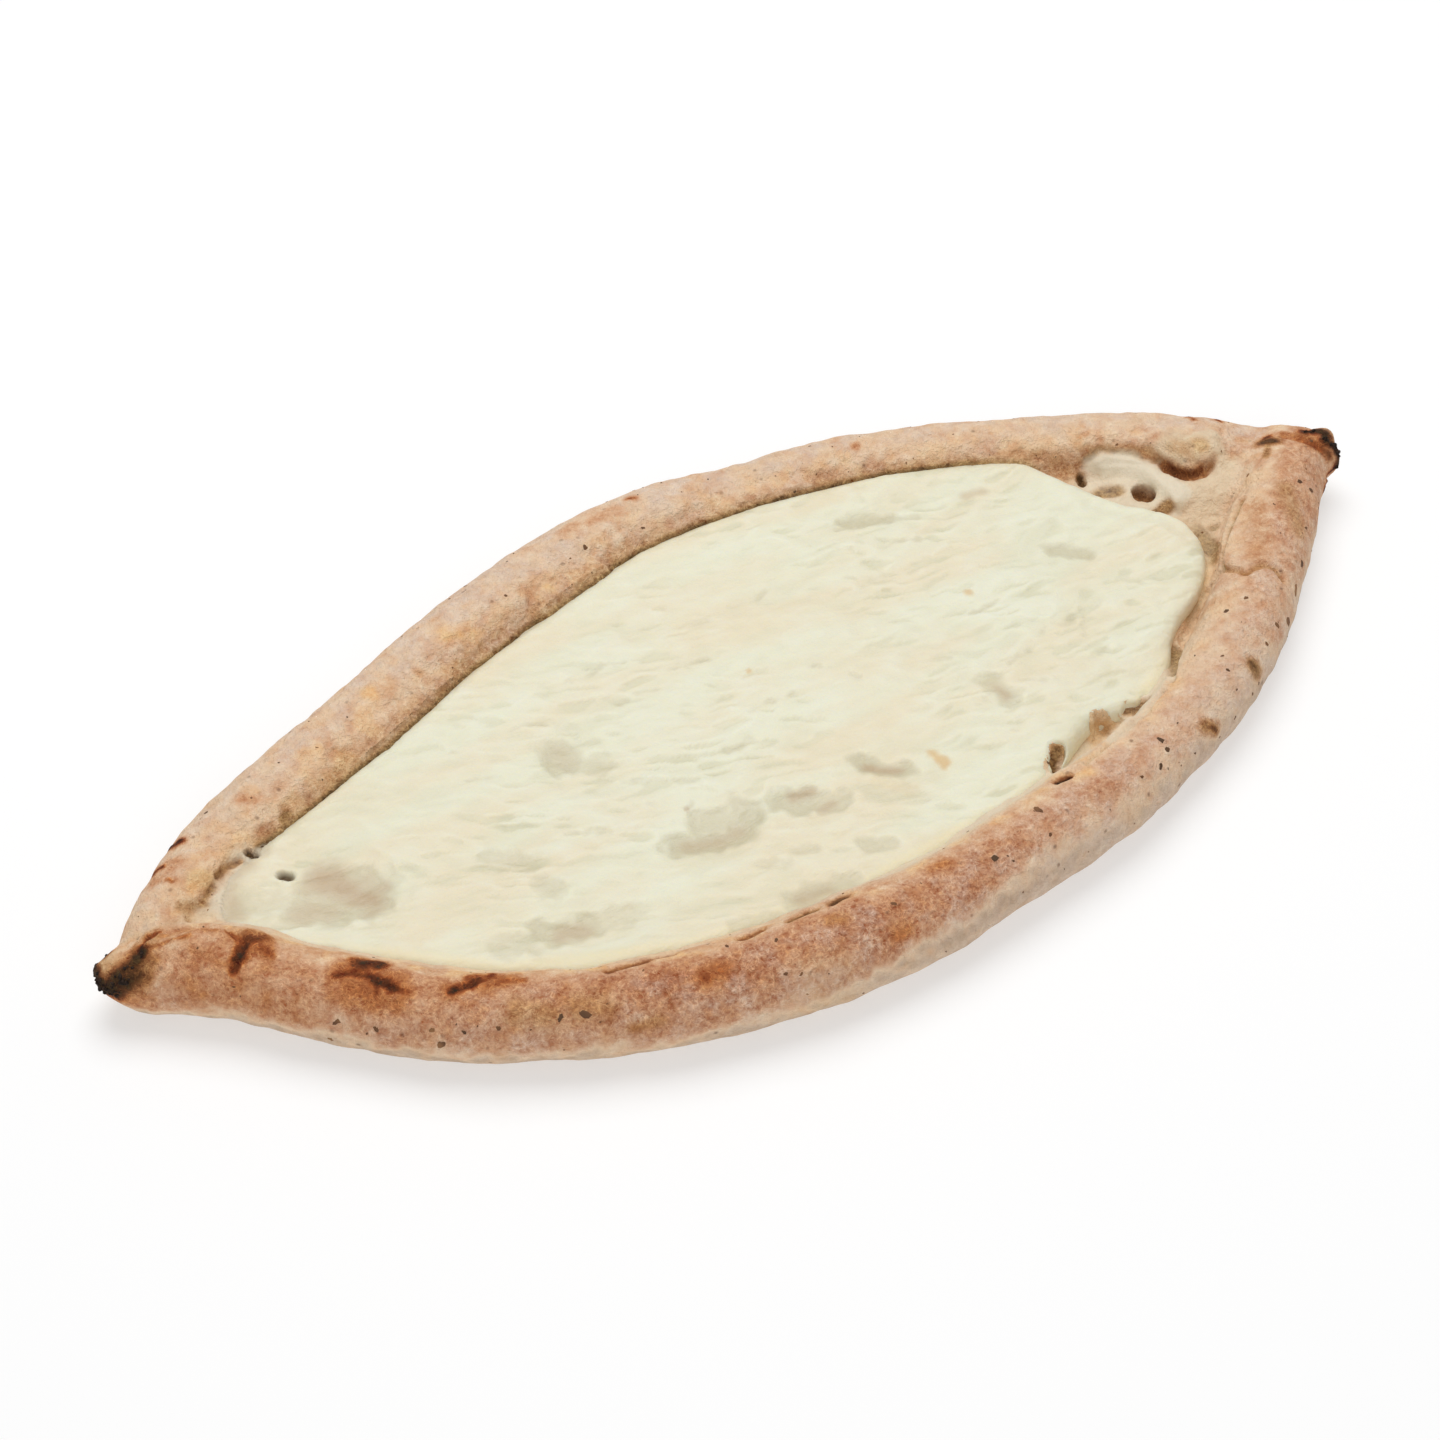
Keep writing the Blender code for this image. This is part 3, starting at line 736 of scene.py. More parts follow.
def apply_modifiers(obj):
    """Gives the object the mesh that its modifiers make, and takes them off."""
    bpy.context.view_layer.update()
    graph = bpy.context.evaluated_depsgraph_get()
    mesh = bpy.data.meshes.new_from_object(obj.evaluated_get(graph))
    obj.modifiers.clear()
    obj.data = mesh


def one_skin(obj, detail, passes):
    """Remakes the object as one even skin and smooths its facets away."""
    remesh = obj.modifiers.new("one skin", "REMESH")
    remesh.mode = "VOXEL"
    remesh.voxel_size = detail
    smooth = obj.modifiers.new("soften", "SMOOTH")
    smooth.factor = 0.5
    smooth.iterations = passes
    apply_modifiers(obj)


def thin_hidden(obj, hidden, keep):
    """Leaves this share of the vertices that nobody sees, and all the others."""
    group = obj.vertex_groups.new(name="hidden")
    group.add(np.flatnonzero(hidden).tolist(), 1.0, "REPLACE")
    thin = obj.modifiers.new("fewer hidden faces", "DECIMATE")
    thin.vertex_group = group.name
    thin.ratio = 1.0 - (1.0 - keep) * float(hidden.mean())
    thin.use_collapse_triangulate = True
    apply_modifiers(obj)
    obj.vertex_groups.clear()


def places_of(mesh):
    flat = np.empty(len(mesh.vertices) * 3, np.float32)
    mesh.vertices.foreach_get("co", flat)
    return flat.reshape(-1, 3).astype(float)


def normals_of(mesh):
    flat = np.empty(len(mesh.vertices) * 3, np.float32)
    mesh.vertex_normals.foreach_get("vector", flat)
    return flat.reshape(-1, 3).astype(float)


def move_to(mesh, places):
    mesh.vertices.foreach_set("co", places.astype(np.float32).ravel())
    mesh.update()


def surface_tree(obj):
    bpy.context.view_layer.update()
    return BVHTree.FromObject(obj, bpy.context.evaluated_depsgraph_get())


def distance_to(tree, places):
    return np.array([tree.find_nearest(place)[3] for place in places.tolist()])


def smooth_step(low, high, value):
    share = np.clip((value - low) / (high - low), 0.0, 1.0)
    return share * share * (3 - 2 * share)


def fade(name, value):
    """How far the value has come along the named span, from 0 to 1."""
    return smooth_step(*SPANS[name], value)


def bumpy(places, spacing, shift=0.0):
    """Smooth noise over the places from -1 to 1, with hills this many mm apart along each axis."""
    scaled = places / (np.asarray(spacing) * MM) + shift
    return np.array([noise.noise(place) for place in scaled.tolist()])


def crinkles(places):
    """Sharp winding crests, 1 on them and less than 0 between them."""
    return 1 - CRINKLE_SHARPNESS * np.abs(bumpy(places, *FIELDS["crinkles"]))


def along(x, stations):
    """Each further column of a table of stations, as it is at these x."""
    columns = np.array(stations).T
    return (np.interp(x, columns[0] * MM, column) for column in columns[1:])


def photo_ray(x, y):
    """The way from the photo's camera through one of its pixels."""
    turn = (PHOTO_TARGET - PHOTO_EYE).to_track_quat("-Z", "Y")
    reach = PHOTO_LENS / SENSOR_WIDTH * PHOTO_SIZE
    half = PHOTO_SIZE / 2
    return (turn @ Vector(((x - half) / reach, (half - y) / reach, -1.0))).normalized()


def seen_at(tree, pixels):
    """Where the photo shows these pixels on a surface, or the nearest place to where it would."""
    found = []
    for x, y in zip(pixels[::2], pixels[1::2]):
        way = photo_ray(x, y)
        place = tree.ray_cast(PHOTO_EYE, way)[0]
        if place is None:
            crest = PHOTO_EYE + way * ((CREST_HEIGHT - PHOTO_EYE.z) / way.z)
            place = tree.find_nearest(crest)[0]
        found.append(place)
    return np.array(found)


def distance_to_path(places, path):
    """How far each place is from the straight runs between the path's points."""
    best = np.full(len(places), np.inf)
    ends = path[1:] if len(path) > 1 else path
    for start, end in zip(path, ends):
        run = end - start
        length = max(float(run @ run), 1e-12)
        share = np.clip((places - start) @ run / length, 0.0, 1.0)
        best = np.minimum(best, np.linalg.norm(places - start - share[:, None] * run, axis=1))
    return best


def painted(places, tree, pixels, reach, kind):
    """How much of a mark along photo pixels each place gets, from 0 beyond its reach to 1 in its core."""
    spread, ragged, grain, core = EDGES[kind]
    path = seen_at(tree, pixels)
    reach = spread * reach * MM
    weight = np.zeros(len(places))
    margin = reach * (1 + ragged) + MM
    close = np.all((places > path.min(axis=0) - margin) & (places < path.max(axis=0) + margin), axis=1)
    if not close.any():
        return weight
    near = places[close]
    apart = distance_to_path(near, path) / reach
    if ragged:
        apart += ragged * bumpy(near, grain)
        apart += ragged * COARSER_SHARE * bumpy(near, grain * COARSER_EDGE, 9.0)
    weight[close] = smooth_step(1.0, core, apart)
    return weight


def marked(places, tree, kind, rows):
    """For each mark of a table: how much of it each place gets, and the rest of its row."""
    for pixels, reach, *rest in rows:
        yield painted(places, tree, pixels, reach, kind), *rest


def turned(places, angle):
    """The places turned about the upright axis."""
    across, up = np.cos(angle), np.sin(angle)
    x, y, z = places.T
    return np.column_stack([x * across + y * up, y * across - x * up, z])


def centre_line(stations):
    """Closely spaced x, y, z and radius along the middle of a roll."""
    given = np.array(stations)
    given[:, :2] += TIP_LINE
    run = np.concatenate([[0.0], np.cumsum(np.hypot(*np.diff(given[:, :2], axis=0).T))])
    fine = np.arange(0.0, run[-1], LINE_STEP)
    x, y, radius = (np.interp(fine, run, given[:, column]) for column in range(3))
    return np.column_stack([x, y, radius * ROLL_REST, radius])


def around_roll(places, stations):
    """For each place: how far outside the roll's skin it is, and its angle round the roll.

    The angle is 0 degrees outward, 90 on top and 180 over the cheese.
    """
    line = centre_line(stations)
    ahead = np.gradient(line[:, :2], axis=0)
    ahead /= np.linalg.norm(ahead, axis=1)[:, None]
    outward = np.column_stack([ahead[:, 1], -ahead[:, 0]])
    outward *= np.sign(line[:, 1].mean()) * np.sign(outward[:, 1].mean())
    apart = np.full(len(places), np.inf)
    nearest = np.zeros(len(places), int)
    for index, middle in enumerate(line[:, :3]):
        gap = np.linalg.norm(places - middle, axis=1)
        closer = gap < apart
        apart[closer] = gap[closer]
        nearest[closer] = index
    offset = places - line[nearest, :3]
    out = np.einsum("ij,ij->i", offset[:, :2], outward[nearest])
    angle = np.degrees(np.arctan2(offset[:, 2], out))
    return apart - line[nearest, 3], np.where(angle < -90, angle + 360, angle)


def store(mesh, **values):
    """Keeps a number from 0 to 1 at each vertex under each name, for the materials."""
    for name, value in values.items():
        attribute = mesh.attributes.get(name) or mesh.attributes.new(name, "FLOAT", "POINT")
        attribute.data.foreach_set("value", np.clip(value, 0.0, 1.0).astype(np.float32))


def stored(mesh, name):
    """The numbers that the mesh keeps under this name."""
    values = np.empty(len(mesh.vertices), np.float32)
    mesh.attributes[name].data.foreach_get("value", values)
    return values.astype(float)


def add(tree, kind, inputs=(), **settings):
    """Adds a shader node with its settings, and feeds its sockets by name or in their own order.

    A socket gets a value, an output or the first output of a node. The sockets of a map range are its
    value, from low, from high, to low and to high.
    """
    node = tree.nodes.new(kind)
    stops = settings.pop("stops", ())
    for name, value in settings.items():
        setattr(node, name, value)
    for index, (place, colour) in enumerate(stops):
        ramp = node.color_ramp.elements
        stop = ramp[index] if index < len(ramp) else ramp.new(place)
        stop.position = place
        stop.color = (*colour, 1.0)
    for name, value in inputs.items() if isinstance(inputs, dict) else enumerate(inputs):
        socket = node.inputs[name]
        source = value.outputs[0] if isinstance(value, bpy.types.Node) else value
        if isinstance(source, bpy.types.NodeSocket):
            tree.links.new(source, socket)
        else:
            socket.default_value = (*source, 1.0) if socket.type == "RGBA" else source
    return node


def new_material(name):
    made = bpy.data.materials.new(name)
    made.use_nodes = True
    made.node_tree.nodes.clear()
    return made, made.node_tree


def across_mm(size):
    """The scale that gives a noise texture features about this many millimetres across."""
    return 1000.0 / size


def crust_material(settings):
    """Bran dough baked on a hot stone: matte and sandy with flour, toasted in blots, charred at the tips.

    The eye gets a dry pinkish-tan skin with white flour grain, golden where cheese fat reached it.
    """
    made, tree = new_material("baked bran dough, floured and toasted")
    place = add(tree, "ShaderNodeTexCoord").outputs["Object"]
    # How toasted each place is, which also carries the painted shade in folds, pits, grooves and along the
    # cheese.
    bake, flour, gilt, film, damp = (
        add(tree, "ShaderNodeAttribute", attribute_name=name).outputs["Fac"]
        for name in ("bake", "flour", "gilt", "film", "damp"))
    blots, hues, sand, dust, cracks, swirls = (
        add(tree, "ShaderNodeTexNoise", {
            "Vector": place, "Scale": across_mm(size), "Detail": detail, "Roughness": rough,
            "Distortion": twist})
        for size, detail, rough, twist in (
            (3.6, 1.0, 0.5, 0.0), (5.2, 1.0, 0.5, 0.0), (1.0, 2.0, 0.7, 0.0),
            (1.4, 3.0, 0.7, 0.0), (2.2, 2.0, 0.6, 0.8), (3.0, 2.0, 0.6, 0.4)))
    sand_middle, crack_middle, swirl_middle = (
        add(tree, "ShaderNodeMath", (texture, 0.5), operation="SUBTRACT")
        for texture in (sand, cracks, swirls))
    blot_swing = add(tree, "ShaderNodeMapRange", (blots, 0.3, 0.7, -0.07, 0.07), clamp=False)
    mottled = add(tree, "ShaderNodeMath", (bake, blot_swing), operation="ADD")
    sand_height = add(tree, "ShaderNodeMapRange", (bake, 0.25, 0.65, 0.20, 2.1))
    burn_height = add(tree, "ShaderNodeMapRange", (bake, 0.50, 0.72, 0.05, 0.55))
    grainy = add(tree, "ShaderNodeMath", (sand_middle, burn_height, mottled), operation="MULTIPLY_ADD")
    crust = add(tree, "ShaderNodeValToRGB", (grainy,), stops=(
        (0.05, settings.pale), (0.25, settings.light), (0.42, settings.tan), (0.58, settings.brown),
        (0.72, settings.russet), (0.86, settings.dark), (0.97, settings.char)))
    # Greasy dough, whose tones also give the olive side of that painted shade.
    greasy = add(tree, "ShaderNodeValToRGB", (grainy,), stops=(
        (0.15, settings.damp_pale), (0.50, settings.damp_mid), (0.85, settings.damp_dark)))

    # The skin turns golden in some patches and pinkish with flour in others.
    gold_patches = add(tree, "ShaderNodeMapRange", (hues, 0.52, 0.38, 0.2, 0.85))
    gilt_share = add(tree, "ShaderNodeMath", (gilt, gold_patches), operation="MULTIPLY")
    loose = add(tree, "ShaderNodeMapRange", (dust, 0.38, 0.64, 0.32, 0.68))
    pink_patches = add(tree, "ShaderNodeMapRange", (hues, 0.42, 0.60, 0.5, 1.2))
    grains = add(tree, "ShaderNodeMath", (loose, pink_patches), operation="MULTIPLY")
    flour_share = add(tree, "ShaderNodeMath", (flour, grains), operation="MULTIPLY")

    # Fine bran is really a tenth of a millimetre; it is drawn coarser so that a render can show it.
    bran = add(tree, "ShaderNodeTexVoronoi", {"Vector": place, "Scale": across_mm(3.2), "Randomness": 1.0})
    chosen = add(tree, "ShaderNodeSeparateColor", (bran.outputs["Color"],))
    speck_near = add(tree, "ShaderNodeMapRange", (bran.outputs["Distance"], 0.06, 0.20, 1.0, 0.0))
    speck_few = add(tree, "ShaderNodeMapRange", (chosen, 0.60, 1.0, 0.0, 0.75))
    speck_share = add(tree, "ShaderNodeMath", (speck_near, speck_few), operation="MULTIPLY")

    # The sandy grain is grey light and dark over all of it, with flour bright in the fine cracks.
    crack_apart = add(tree, "ShaderNodeMath", (crack_middle,), operation="ABSOLUTE")
    crack_flour = add(tree, "ShaderNodeMapRange", (crack_apart, 0.0, 0.03, 0.9, 0.0))
    crack_light = add(tree, "ShaderNodeMath", (sand_height, 0.24), operation="MULTIPLY")
    fine_grain = add(tree, "ShaderNodeMath", (sand_middle, sand_height, 0.48), operation="MULTIPLY_ADD")
    grain = add(tree, "ShaderNodeMath", (swirl_middle, 0.6, fine_grain), operation="MULTIPLY_ADD")
    lined_grain = add(tree, "ShaderNodeMath", (crack_flour, crack_light, grain), operation="MULTIPLY_ADD")
    colour = crust
    for share, over, blend in (
            (gilt_share, settings.golden, "MIX"), (damp, greasy, "MIX"),
            (flour_share, settings.flour, "MIX"), (speck_share, settings.speck, "MIX"),
            (1.0, lined_grain, "SOFT_LIGHT"), (film, settings.film, "MIX")):
        layer = {"Factor": share, 6: colour, 7: over}
        colour = add(tree, "ShaderNodeMix", layer, data_type="RGBA", blend_type=blend).outputs[2]

    roughness = add(tree, "ShaderNodeMapRange", (film, 0.0, 1.0, 0.88, 0.42))
    relief = add(tree, "ShaderNodeMath", (sand, 0.8, dust), operation="MULTIPLY_ADD")
    bump_height = add(tree, "ShaderNodeMapRange", (film, 0.0, 1.0, 1.0, 0.25))
    bump = add(tree, "ShaderNodeBump", {"Strength": bump_height, "Distance": 0.7 * MM, "Height": relief})
    surface = add(tree, "ShaderNodeBsdfPrincipled", {
        "Base Color": colour, "Roughness": roughness, "Normal": bump, "IOR": 1.45,
        "Specular IOR Level": 0.3, "Subsurface Weight": 0.06, "Subsurface Radius": (1.0, 0.6, 0.35),
        "Subsurface Scale": 1.2 * MM})
    add(tree, "ShaderNodeOutputMaterial", (surface,))
    return made


def cheese_material(settings):
    """Melted brined white cheese: satin, slightly see-through, drawn into fine long wrinkles.

    The eye gets a pale cream, whiter on the crests with painted light and greyer in the grooves with
    painted shade, greyer where the cheese is thin and wet, with painted shade in the wrinkles, along the
    far roll and down the burst bubble.
    """
    made, tree = new_material("melted akkawi cheese")
    place = add(tree, "ShaderNodeTexCoord").outputs["Object"]
    thin, spot, ridge, hollow, rim, show = (
        add(tree, "ShaderNodeAttribute", attribute_name=name).outputs["Fac"]
        for name in ("thin", "spot", "ridge", "hollow", "rim", "show"))
    lying = add(tree, "ShaderNodeMapping", {
        "Vector": place, "Rotation": (0.0, 0.0, -settings.lie), "Scale": (0.3, 1.0, 1.0)})
    fat, fibres, curd = (
        add(tree, "ShaderNodeTexNoise", {
            "Vector": where, "Scale": across_mm(size), "Detail": detail, "Roughness": rough})
        for where, size, detail, rough in (
            (lying, 13.0, 2.0, 0.5), (lying, 1.8, 3.0, 0.7), (place, 2.6, 4.0, 0.7)))
    curd_middle = add(tree, "ShaderNodeMath", (curd, 0.5), operation="SUBTRACT")
    thin_ragged = add(tree, "ShaderNodeMath", (curd_middle, 0.6, thin), operation="MULTIPLY_ADD")
    fatty, crest, deep, wet, roughness = (
        add(tree, "ShaderNodeMapRange", limits) for limits in (
            (fat, 0.42, 0.62, 0.0, 1.0), (ridge, 0.5, 1.0, 0.0, 0.85), (ridge, 0.5, 0.0, 0.0, 0.8),
            (thin_ragged, 0.12, 1.05, 0.0, 0.85), (thin, 0.0, 1.0, 0.5, 0.35)))
    # The crests' whiter cheese is painted light and the grooves' greyer cheese is painted shade.
    colour = settings.cream
    for share, over in (
            (fatty, settings.buttery), (crest, settings.painted_crest_light), (deep, settings.groove),
            (rim, settings.rim), (wet, settings.thin), (show, settings.show), (spot, settings.spot),
            (hollow, settings.hollow)):
        layer = {"Factor": share, 6: colour, 7: over}
        colour = add(tree, "ShaderNodeMix", layer, data_type="RGBA").outputs[2]
    relief = add(tree, "ShaderNodeMath", (curd, 0.8, fibres), operation="MULTIPLY_ADD")
    bump = add(tree, "ShaderNodeBump", {"Strength": 0.5, "Distance": 0.5 * MM, "Height": relief})
    surface = add(tree, "ShaderNodeBsdfPrincipled", {
        "Base Color": colour, "Roughness": roughness, "Normal": bump, "IOR": 1.45,
        "Specular IOR Level": 0.4, "Subsurface Weight": 0.35, "Subsurface Radius": (1.0, 0.85, 0.55),
        "Subsurface Scale": 2.0 * MM})
    add(tree, "ShaderNodeOutputMaterial", (surface,))
    return made


def bran_material(settings):
    """Toasted wheat bran: thin, dry and dark brown, from red-brown to almost black."""
    made, tree = new_material("toasted wheat bran")
    place = add(tree, "ShaderNodeTexCoord").outputs["Object"]
    toast = add(tree, "ShaderNodeTexNoise", {"Vector": place, "Scale": across_mm(6.0), "Detail": 2.0})
    colour = add(tree, "ShaderNodeValToRGB", (toast,), stops=(
        (0.38, linear("52381F")), (0.52, settings.colour), (0.66, linear("94683E"))))
    bump = add(tree, "ShaderNodeBump", {"Strength": 0.4, "Distance": 0.1 * MM, "Height": toast})
    surface = add(tree, "ShaderNodeBsdfPrincipled", {
        "Base Color": colour, "Normal": bump, "Roughness": 0.75})
    add(tree, "ShaderNodeOutputMaterial", (surface,))
    return made


def char_material(settings):
    """Burnt dough crumb: black, brittle and pitted, with a faint grey gloss."""
    made, tree = new_material("charred dough crumb")
    place = add(tree, "ShaderNodeTexCoord").outputs["Object"]
    pits = add(tree, "ShaderNodeTexNoise", {"Vector": place, "Scale": across_mm(0.9), "Detail": 3.0})
    colour = add(tree, "ShaderNodeValToRGB", (pits,), stops=(
        (0.38, settings.colour), (0.70, linear("43332A"))))
    bump = add(tree, "ShaderNodeBump", {"Strength": 0.8, "Distance": 0.3 * MM, "Height": pits})
    surface = add(tree, "ShaderNodeBsdfPrincipled", {
        "Base Color": colour, "Normal": bump, "Roughness": 0.8, "Specular IOR Level": 0.15})
    add(tree, "ShaderNodeOutputMaterial", (surface,))
    return made


def dress(obj, slot, material, *nodes):
    """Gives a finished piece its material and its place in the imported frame."""
    obj.data.materials.clear()
    obj.data.materials.append(material)
    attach(obj, "root")
    if nodes:
        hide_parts(*nodes)
    print(obj.name, "triangles", sum(len(face.vertices) - 2 for face in obj.data.polygons))


def joined_form(name, clearance):
    """The dough and the cheese, swollen a little so that they meet, in one object."""
    dough = merged_copy(DOUGH_NODE, name)
    cheese = merged_copy(CHEESE_NODE, "cheese form")
    swell = cheese.modifiers.new("close the gap", "DISPLACE")
    swell.strength = clearance
    swell.mid_level = 0.0
    apply_modifiers(cheese)
    work = bmesh.new()
    work.from_mesh(dough.data)
    work.from_mesh(cheese.data)
    work.to_mesh(dough.data)
    work.free()
    bpy.data.objects.remove(cheese)
    return dough


class SFIHA_OT_bake_crust(bpy.types.Operator):
    """Bakes the dough boat: one skin over rolls, sheet and tips, with its folds, burns and flour"""

    bl_idname = "sfiha.bake_crust"
    bl_label = "Bake Crust"

    def execute(self, context):
        settings = context.scene.sfiha_crust
        crust = self.grow_form(settings)
        places, normals = places_of(crust.data), normals_of(crust.data)
        marks, crinkled = self.bake_rolls(places)
        sink = self.mark_skin(places, surface_tree(crust), marks)
        crumb = self.crumble(places, marks, crinkled, settings)
        places += normals * (crumb - sink)[:, None]
        places[:, 2] = np.maximum(places[:, 2], 0.0)
        move_to(crust.data, places)
        store(crust.data, **marks)
        crust.data.shade_smooth()
        dress(crust, DOUGH_SLOT, crust_material(settings), DOUGH_NODE)
        return {"FINISHED"}

    def grow_form(self, settings):
        """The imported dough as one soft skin, sunk under the cheese, with its lobe, blister and corner."""
        crust = joined_form("crust", MEETING_GAP)
        one_skin(crust, settings.detail, CRUST_ROUNDS)
        dough_form = merged_copy(DOUGH_NODE, "dough form")
        dough_tree = surface_tree(dough_form)
        bpy.data.objects.remove(dough_form)
        places = places_of(crust.data)
        under_cheese = distance_to(dough_tree, places) > UNDER_CHEESE
        underside = (places[:, 2] < UNDERSIDE_TOP) | (normals_of(crust.data)[:, 2] < UNDERSIDE_FACING)
        thin_hidden(crust, under_cheese | underside, CRUST_KEPT)

        places, normals = places_of(crust.data), normals_of(crust.data)
        lake = np.clip(distance_to(dough_tree, places) - MEETING_GAP, 0.0, settings.lake_depth)
        tree = surface_tree(crust)
        for pixels, reach in CHEESE_GAPS.values():
            lake *= 1 - painted(places, tree, pixels, reach + GAP_MARGIN, "bare dough")
        for pixels, reach, _, deepest in THIN_EDGES.values():
            rising = painted(places, tree, pixels, reach + THIN_MARGIN, "thin cheese")
            lake = lake * (1 - rising) + np.minimum(lake, deepest * MM) * rising
        places -= normals * lake[:, None]
        move_to(crust.data, places)
        tree = surface_tree(crust)
        for weight, pull in marked(places, tree, "tug", TUGS.values()):
            places += weight[:, None] * np.array(pull) * MM
        for weight, height in marked(places, tree, "swelling", SWELLS.values()):
            places += (weight * height * MM)[:, None] * normals
        move_to(crust.data, places)
        return crust

    def bake_rolls(self, places):
        """How the oven left the rolls and the sheet before any single mark, with painted shade low on the
        far roll, and where the skin crinkles.
        """
        x = places[:, 0]
        near_gap, near_angle = around_roll(places, NEAR_ROLL)
        far_gap, far_angle = around_roll(places, FAR_ROLL)
        on_near = near_gap < far_gap
        angle = np.where(on_near, near_angle, far_angle)
        sheet = fade("sheet", np.minimum(near_gap, far_gap))
        right = fade("right end", x)
        patches, small_patches, ragged = (
            bumpy(places, *FIELDS[name]) for name in ("patches", "small patches", "ragged"))
        creased = crinkles(places)
        near_bake, near_flour, near_gilt, near_film = self.bake_near(
            x, angle, patches, small_patches, ragged)
        far_bake, far_flour, far_gilt, shade, inner = self.bake_far(
            x, angle, patches, small_patches, creased)
        # The crinkles' crests are a little lighter on the sheet: painted light.
        flat = 0.26 + 0.10 * small_patches - 0.05 * creased
        return {
            "bake": np.where(on_near, near_bake, far_bake) * (1 - sheet) + flat * sheet,
            "flour": np.where(on_near, near_flour, far_flour) * (1 - 0.6 * sheet),
            "gilt": np.where(on_near, near_gilt, far_gilt) * (1 - sheet) + 0.6 * sheet * (1 - right),
            "film": np.where(on_near, near_film, 0.0) * (1 - sheet) + 0.28 * sheet * right,
            # Greasy on the sheet, and painted shade low on the far roll's inner flank in the greasy olive
            # tones.
            "damp": 0.45 * sheet + np.where(on_near, 0.0, 0.30 * shade) * (1 - sheet),
        }, np.maximum(sheet, np.where(on_near, 0.0, 0.75 * inner))

    def bake_near(self, x, angle, patches, small_patches, ragged):
        """The near roll, toasted on its flank, darkest just above the pale foot, gilded past the crest."""
        toast, foot, floury = along(x, NEAR_BAKING)
        crest = fade("near crest", angle + 12 * small_patches)
        low = fade("near low flank", angle + 10 * small_patches)
        crest_toast = np.interp(x, SPANS["crest cools"], (0.36, 0.28))
        bake = toast * (1 - crest) + crest_toast * crest - 0.04 * low
        bake += 0.06 * patches + 0.06 * small_patches
        pale = smooth_step(foot + FOOT_ABOVE, foot - FOOT_BELOW, angle + 8 * ragged + 8 * small_patches)
        bake = bake * (1 - pale) + (0.06 + 0.08 * ragged) * pale
        middle = fade("middle", x)
        gilt = 0.8 * fade("near gilt", angle + 12 * small_patches) * (0.35 + 0.65 * middle)
        flour = floury * (1 - 0.6 * crest) + 0.15 * low + 0.22 * small_patches
        flour += pale * (np.interp(x, SPANS["foot gets floury"], (0.15, 0.70)) - flour)
        inner = angle + 6 * small_patches
        slit_strip = 0.35 * fade("slits begin", x) * fade("slit strip", inner)
        film = middle * (0.4 * fade("near film", inner) + slit_strip)
        return bake, flour, gilt, film

    def bake_far(self, x, angle, patches, small_patches, creased):
        """The far roll, floury on top and golden in crinkled patches down its inner flank, with painted
        shade low on it.
        """
        toast, floury, golden = along(x, FAR_BAKING)
        inner = fade("far inner flank", angle + 16 * small_patches)
        shade = fade("far shade", angle)
        # The crinkles' crests are a little lighter here too: painted light.
        bake = toast + 0.05 * patches + 0.05 * small_patches - 0.05 * creased + 0.05 * inner
        # Painted shade low on the inner flank, next to the cheese.
        bake += 0.17 * shade
        flour = floury * (1 - 0.3 * inner) + 0.4 * (1 - inner) + 0.3 * small_patches
        gilt = golden * (0.35 + 0.65 * inner) * (0.8 + 0.5 * patches + 0.3 * small_patches)
        return bake, flour, gilt, shade, inner

    def mark_skin(self, places, tree, marks):
        """Paints each named mark on the skin, and gives how deep folds and pits sink into it."""
        sink = np.zeros(len(places))

        def darken(weight, dark):
            marks["bake"] += weight * np.maximum(dark - marks["bake"], 0.0)
            marks["flour"] *= 1 - weight
            marks["film"] *= 1 - weight * fade("film burns off", dark)

        # Darkens toward the greasy olive tones, for toasted stains and for painted shade in folds, pits and
        # under lobes.
        def stain_and_shade(weight, dark, olive):
            darken(weight, dark)
            marks["damp"] = marks["damp"] * (1 - weight) + olive * weight

        for weight, strength in marked(places, tree, "film", FILMS.values()):
            marks["film"] = np.maximum(marks["film"], strength * weight)
        for weight, dark, olive in marked(places, tree, "stain_and_shade", STAINS_AND_SHADES.values()):
            stain_and_shade(weight, dark, olive)
            marks["gilt"] *= 1 - 0.8 * weight
        for (weight,) in marked(places, tree, "gold", GOLDS.values()):
            marks["gilt"] = np.maximum(marks["gilt"], weight)
            marks["flour"] *= 1 - 0.8 * weight
            marks["film"] *= 1 - weight
            marks["bake"] += weight * (GOLD_BAKE - marks["bake"])
        for pixels, reach, dark in SCORCHES.values():
            if dark > HALO_FROM:
                halo = painted(places, tree, pixels, 1.2 + 1.4 * reach, "halo")
                darken(0.8 * halo, 0.62 * dark)
                marks["gilt"] *= 1 - 0.7 * halo
            darken(painted(places, tree, pixels, reach, "scorch"), dark)
        for pixels, width, depth, dark, olive in CREASES.values():
            sides = painted(places, tree, pixels, width, "crease's sides")
            sink = np.maximum(sink, depth * MM * sides)
            weight = painted(places, tree, pixels, width, "crease")
            stain_and_shade(weight, dark, olive)
            marks["gilt"] *= 1 - weight
        for weight, depth, dark, olive in marked(places, tree, "pit", PITS.values()):
            sink = np.maximum(sink, depth * MM * weight)
            stain_and_shade(weight, dark, olive)
        marks["gilt"] *= 1 - fade("gilt burns off", marks["bake"])
        return sink

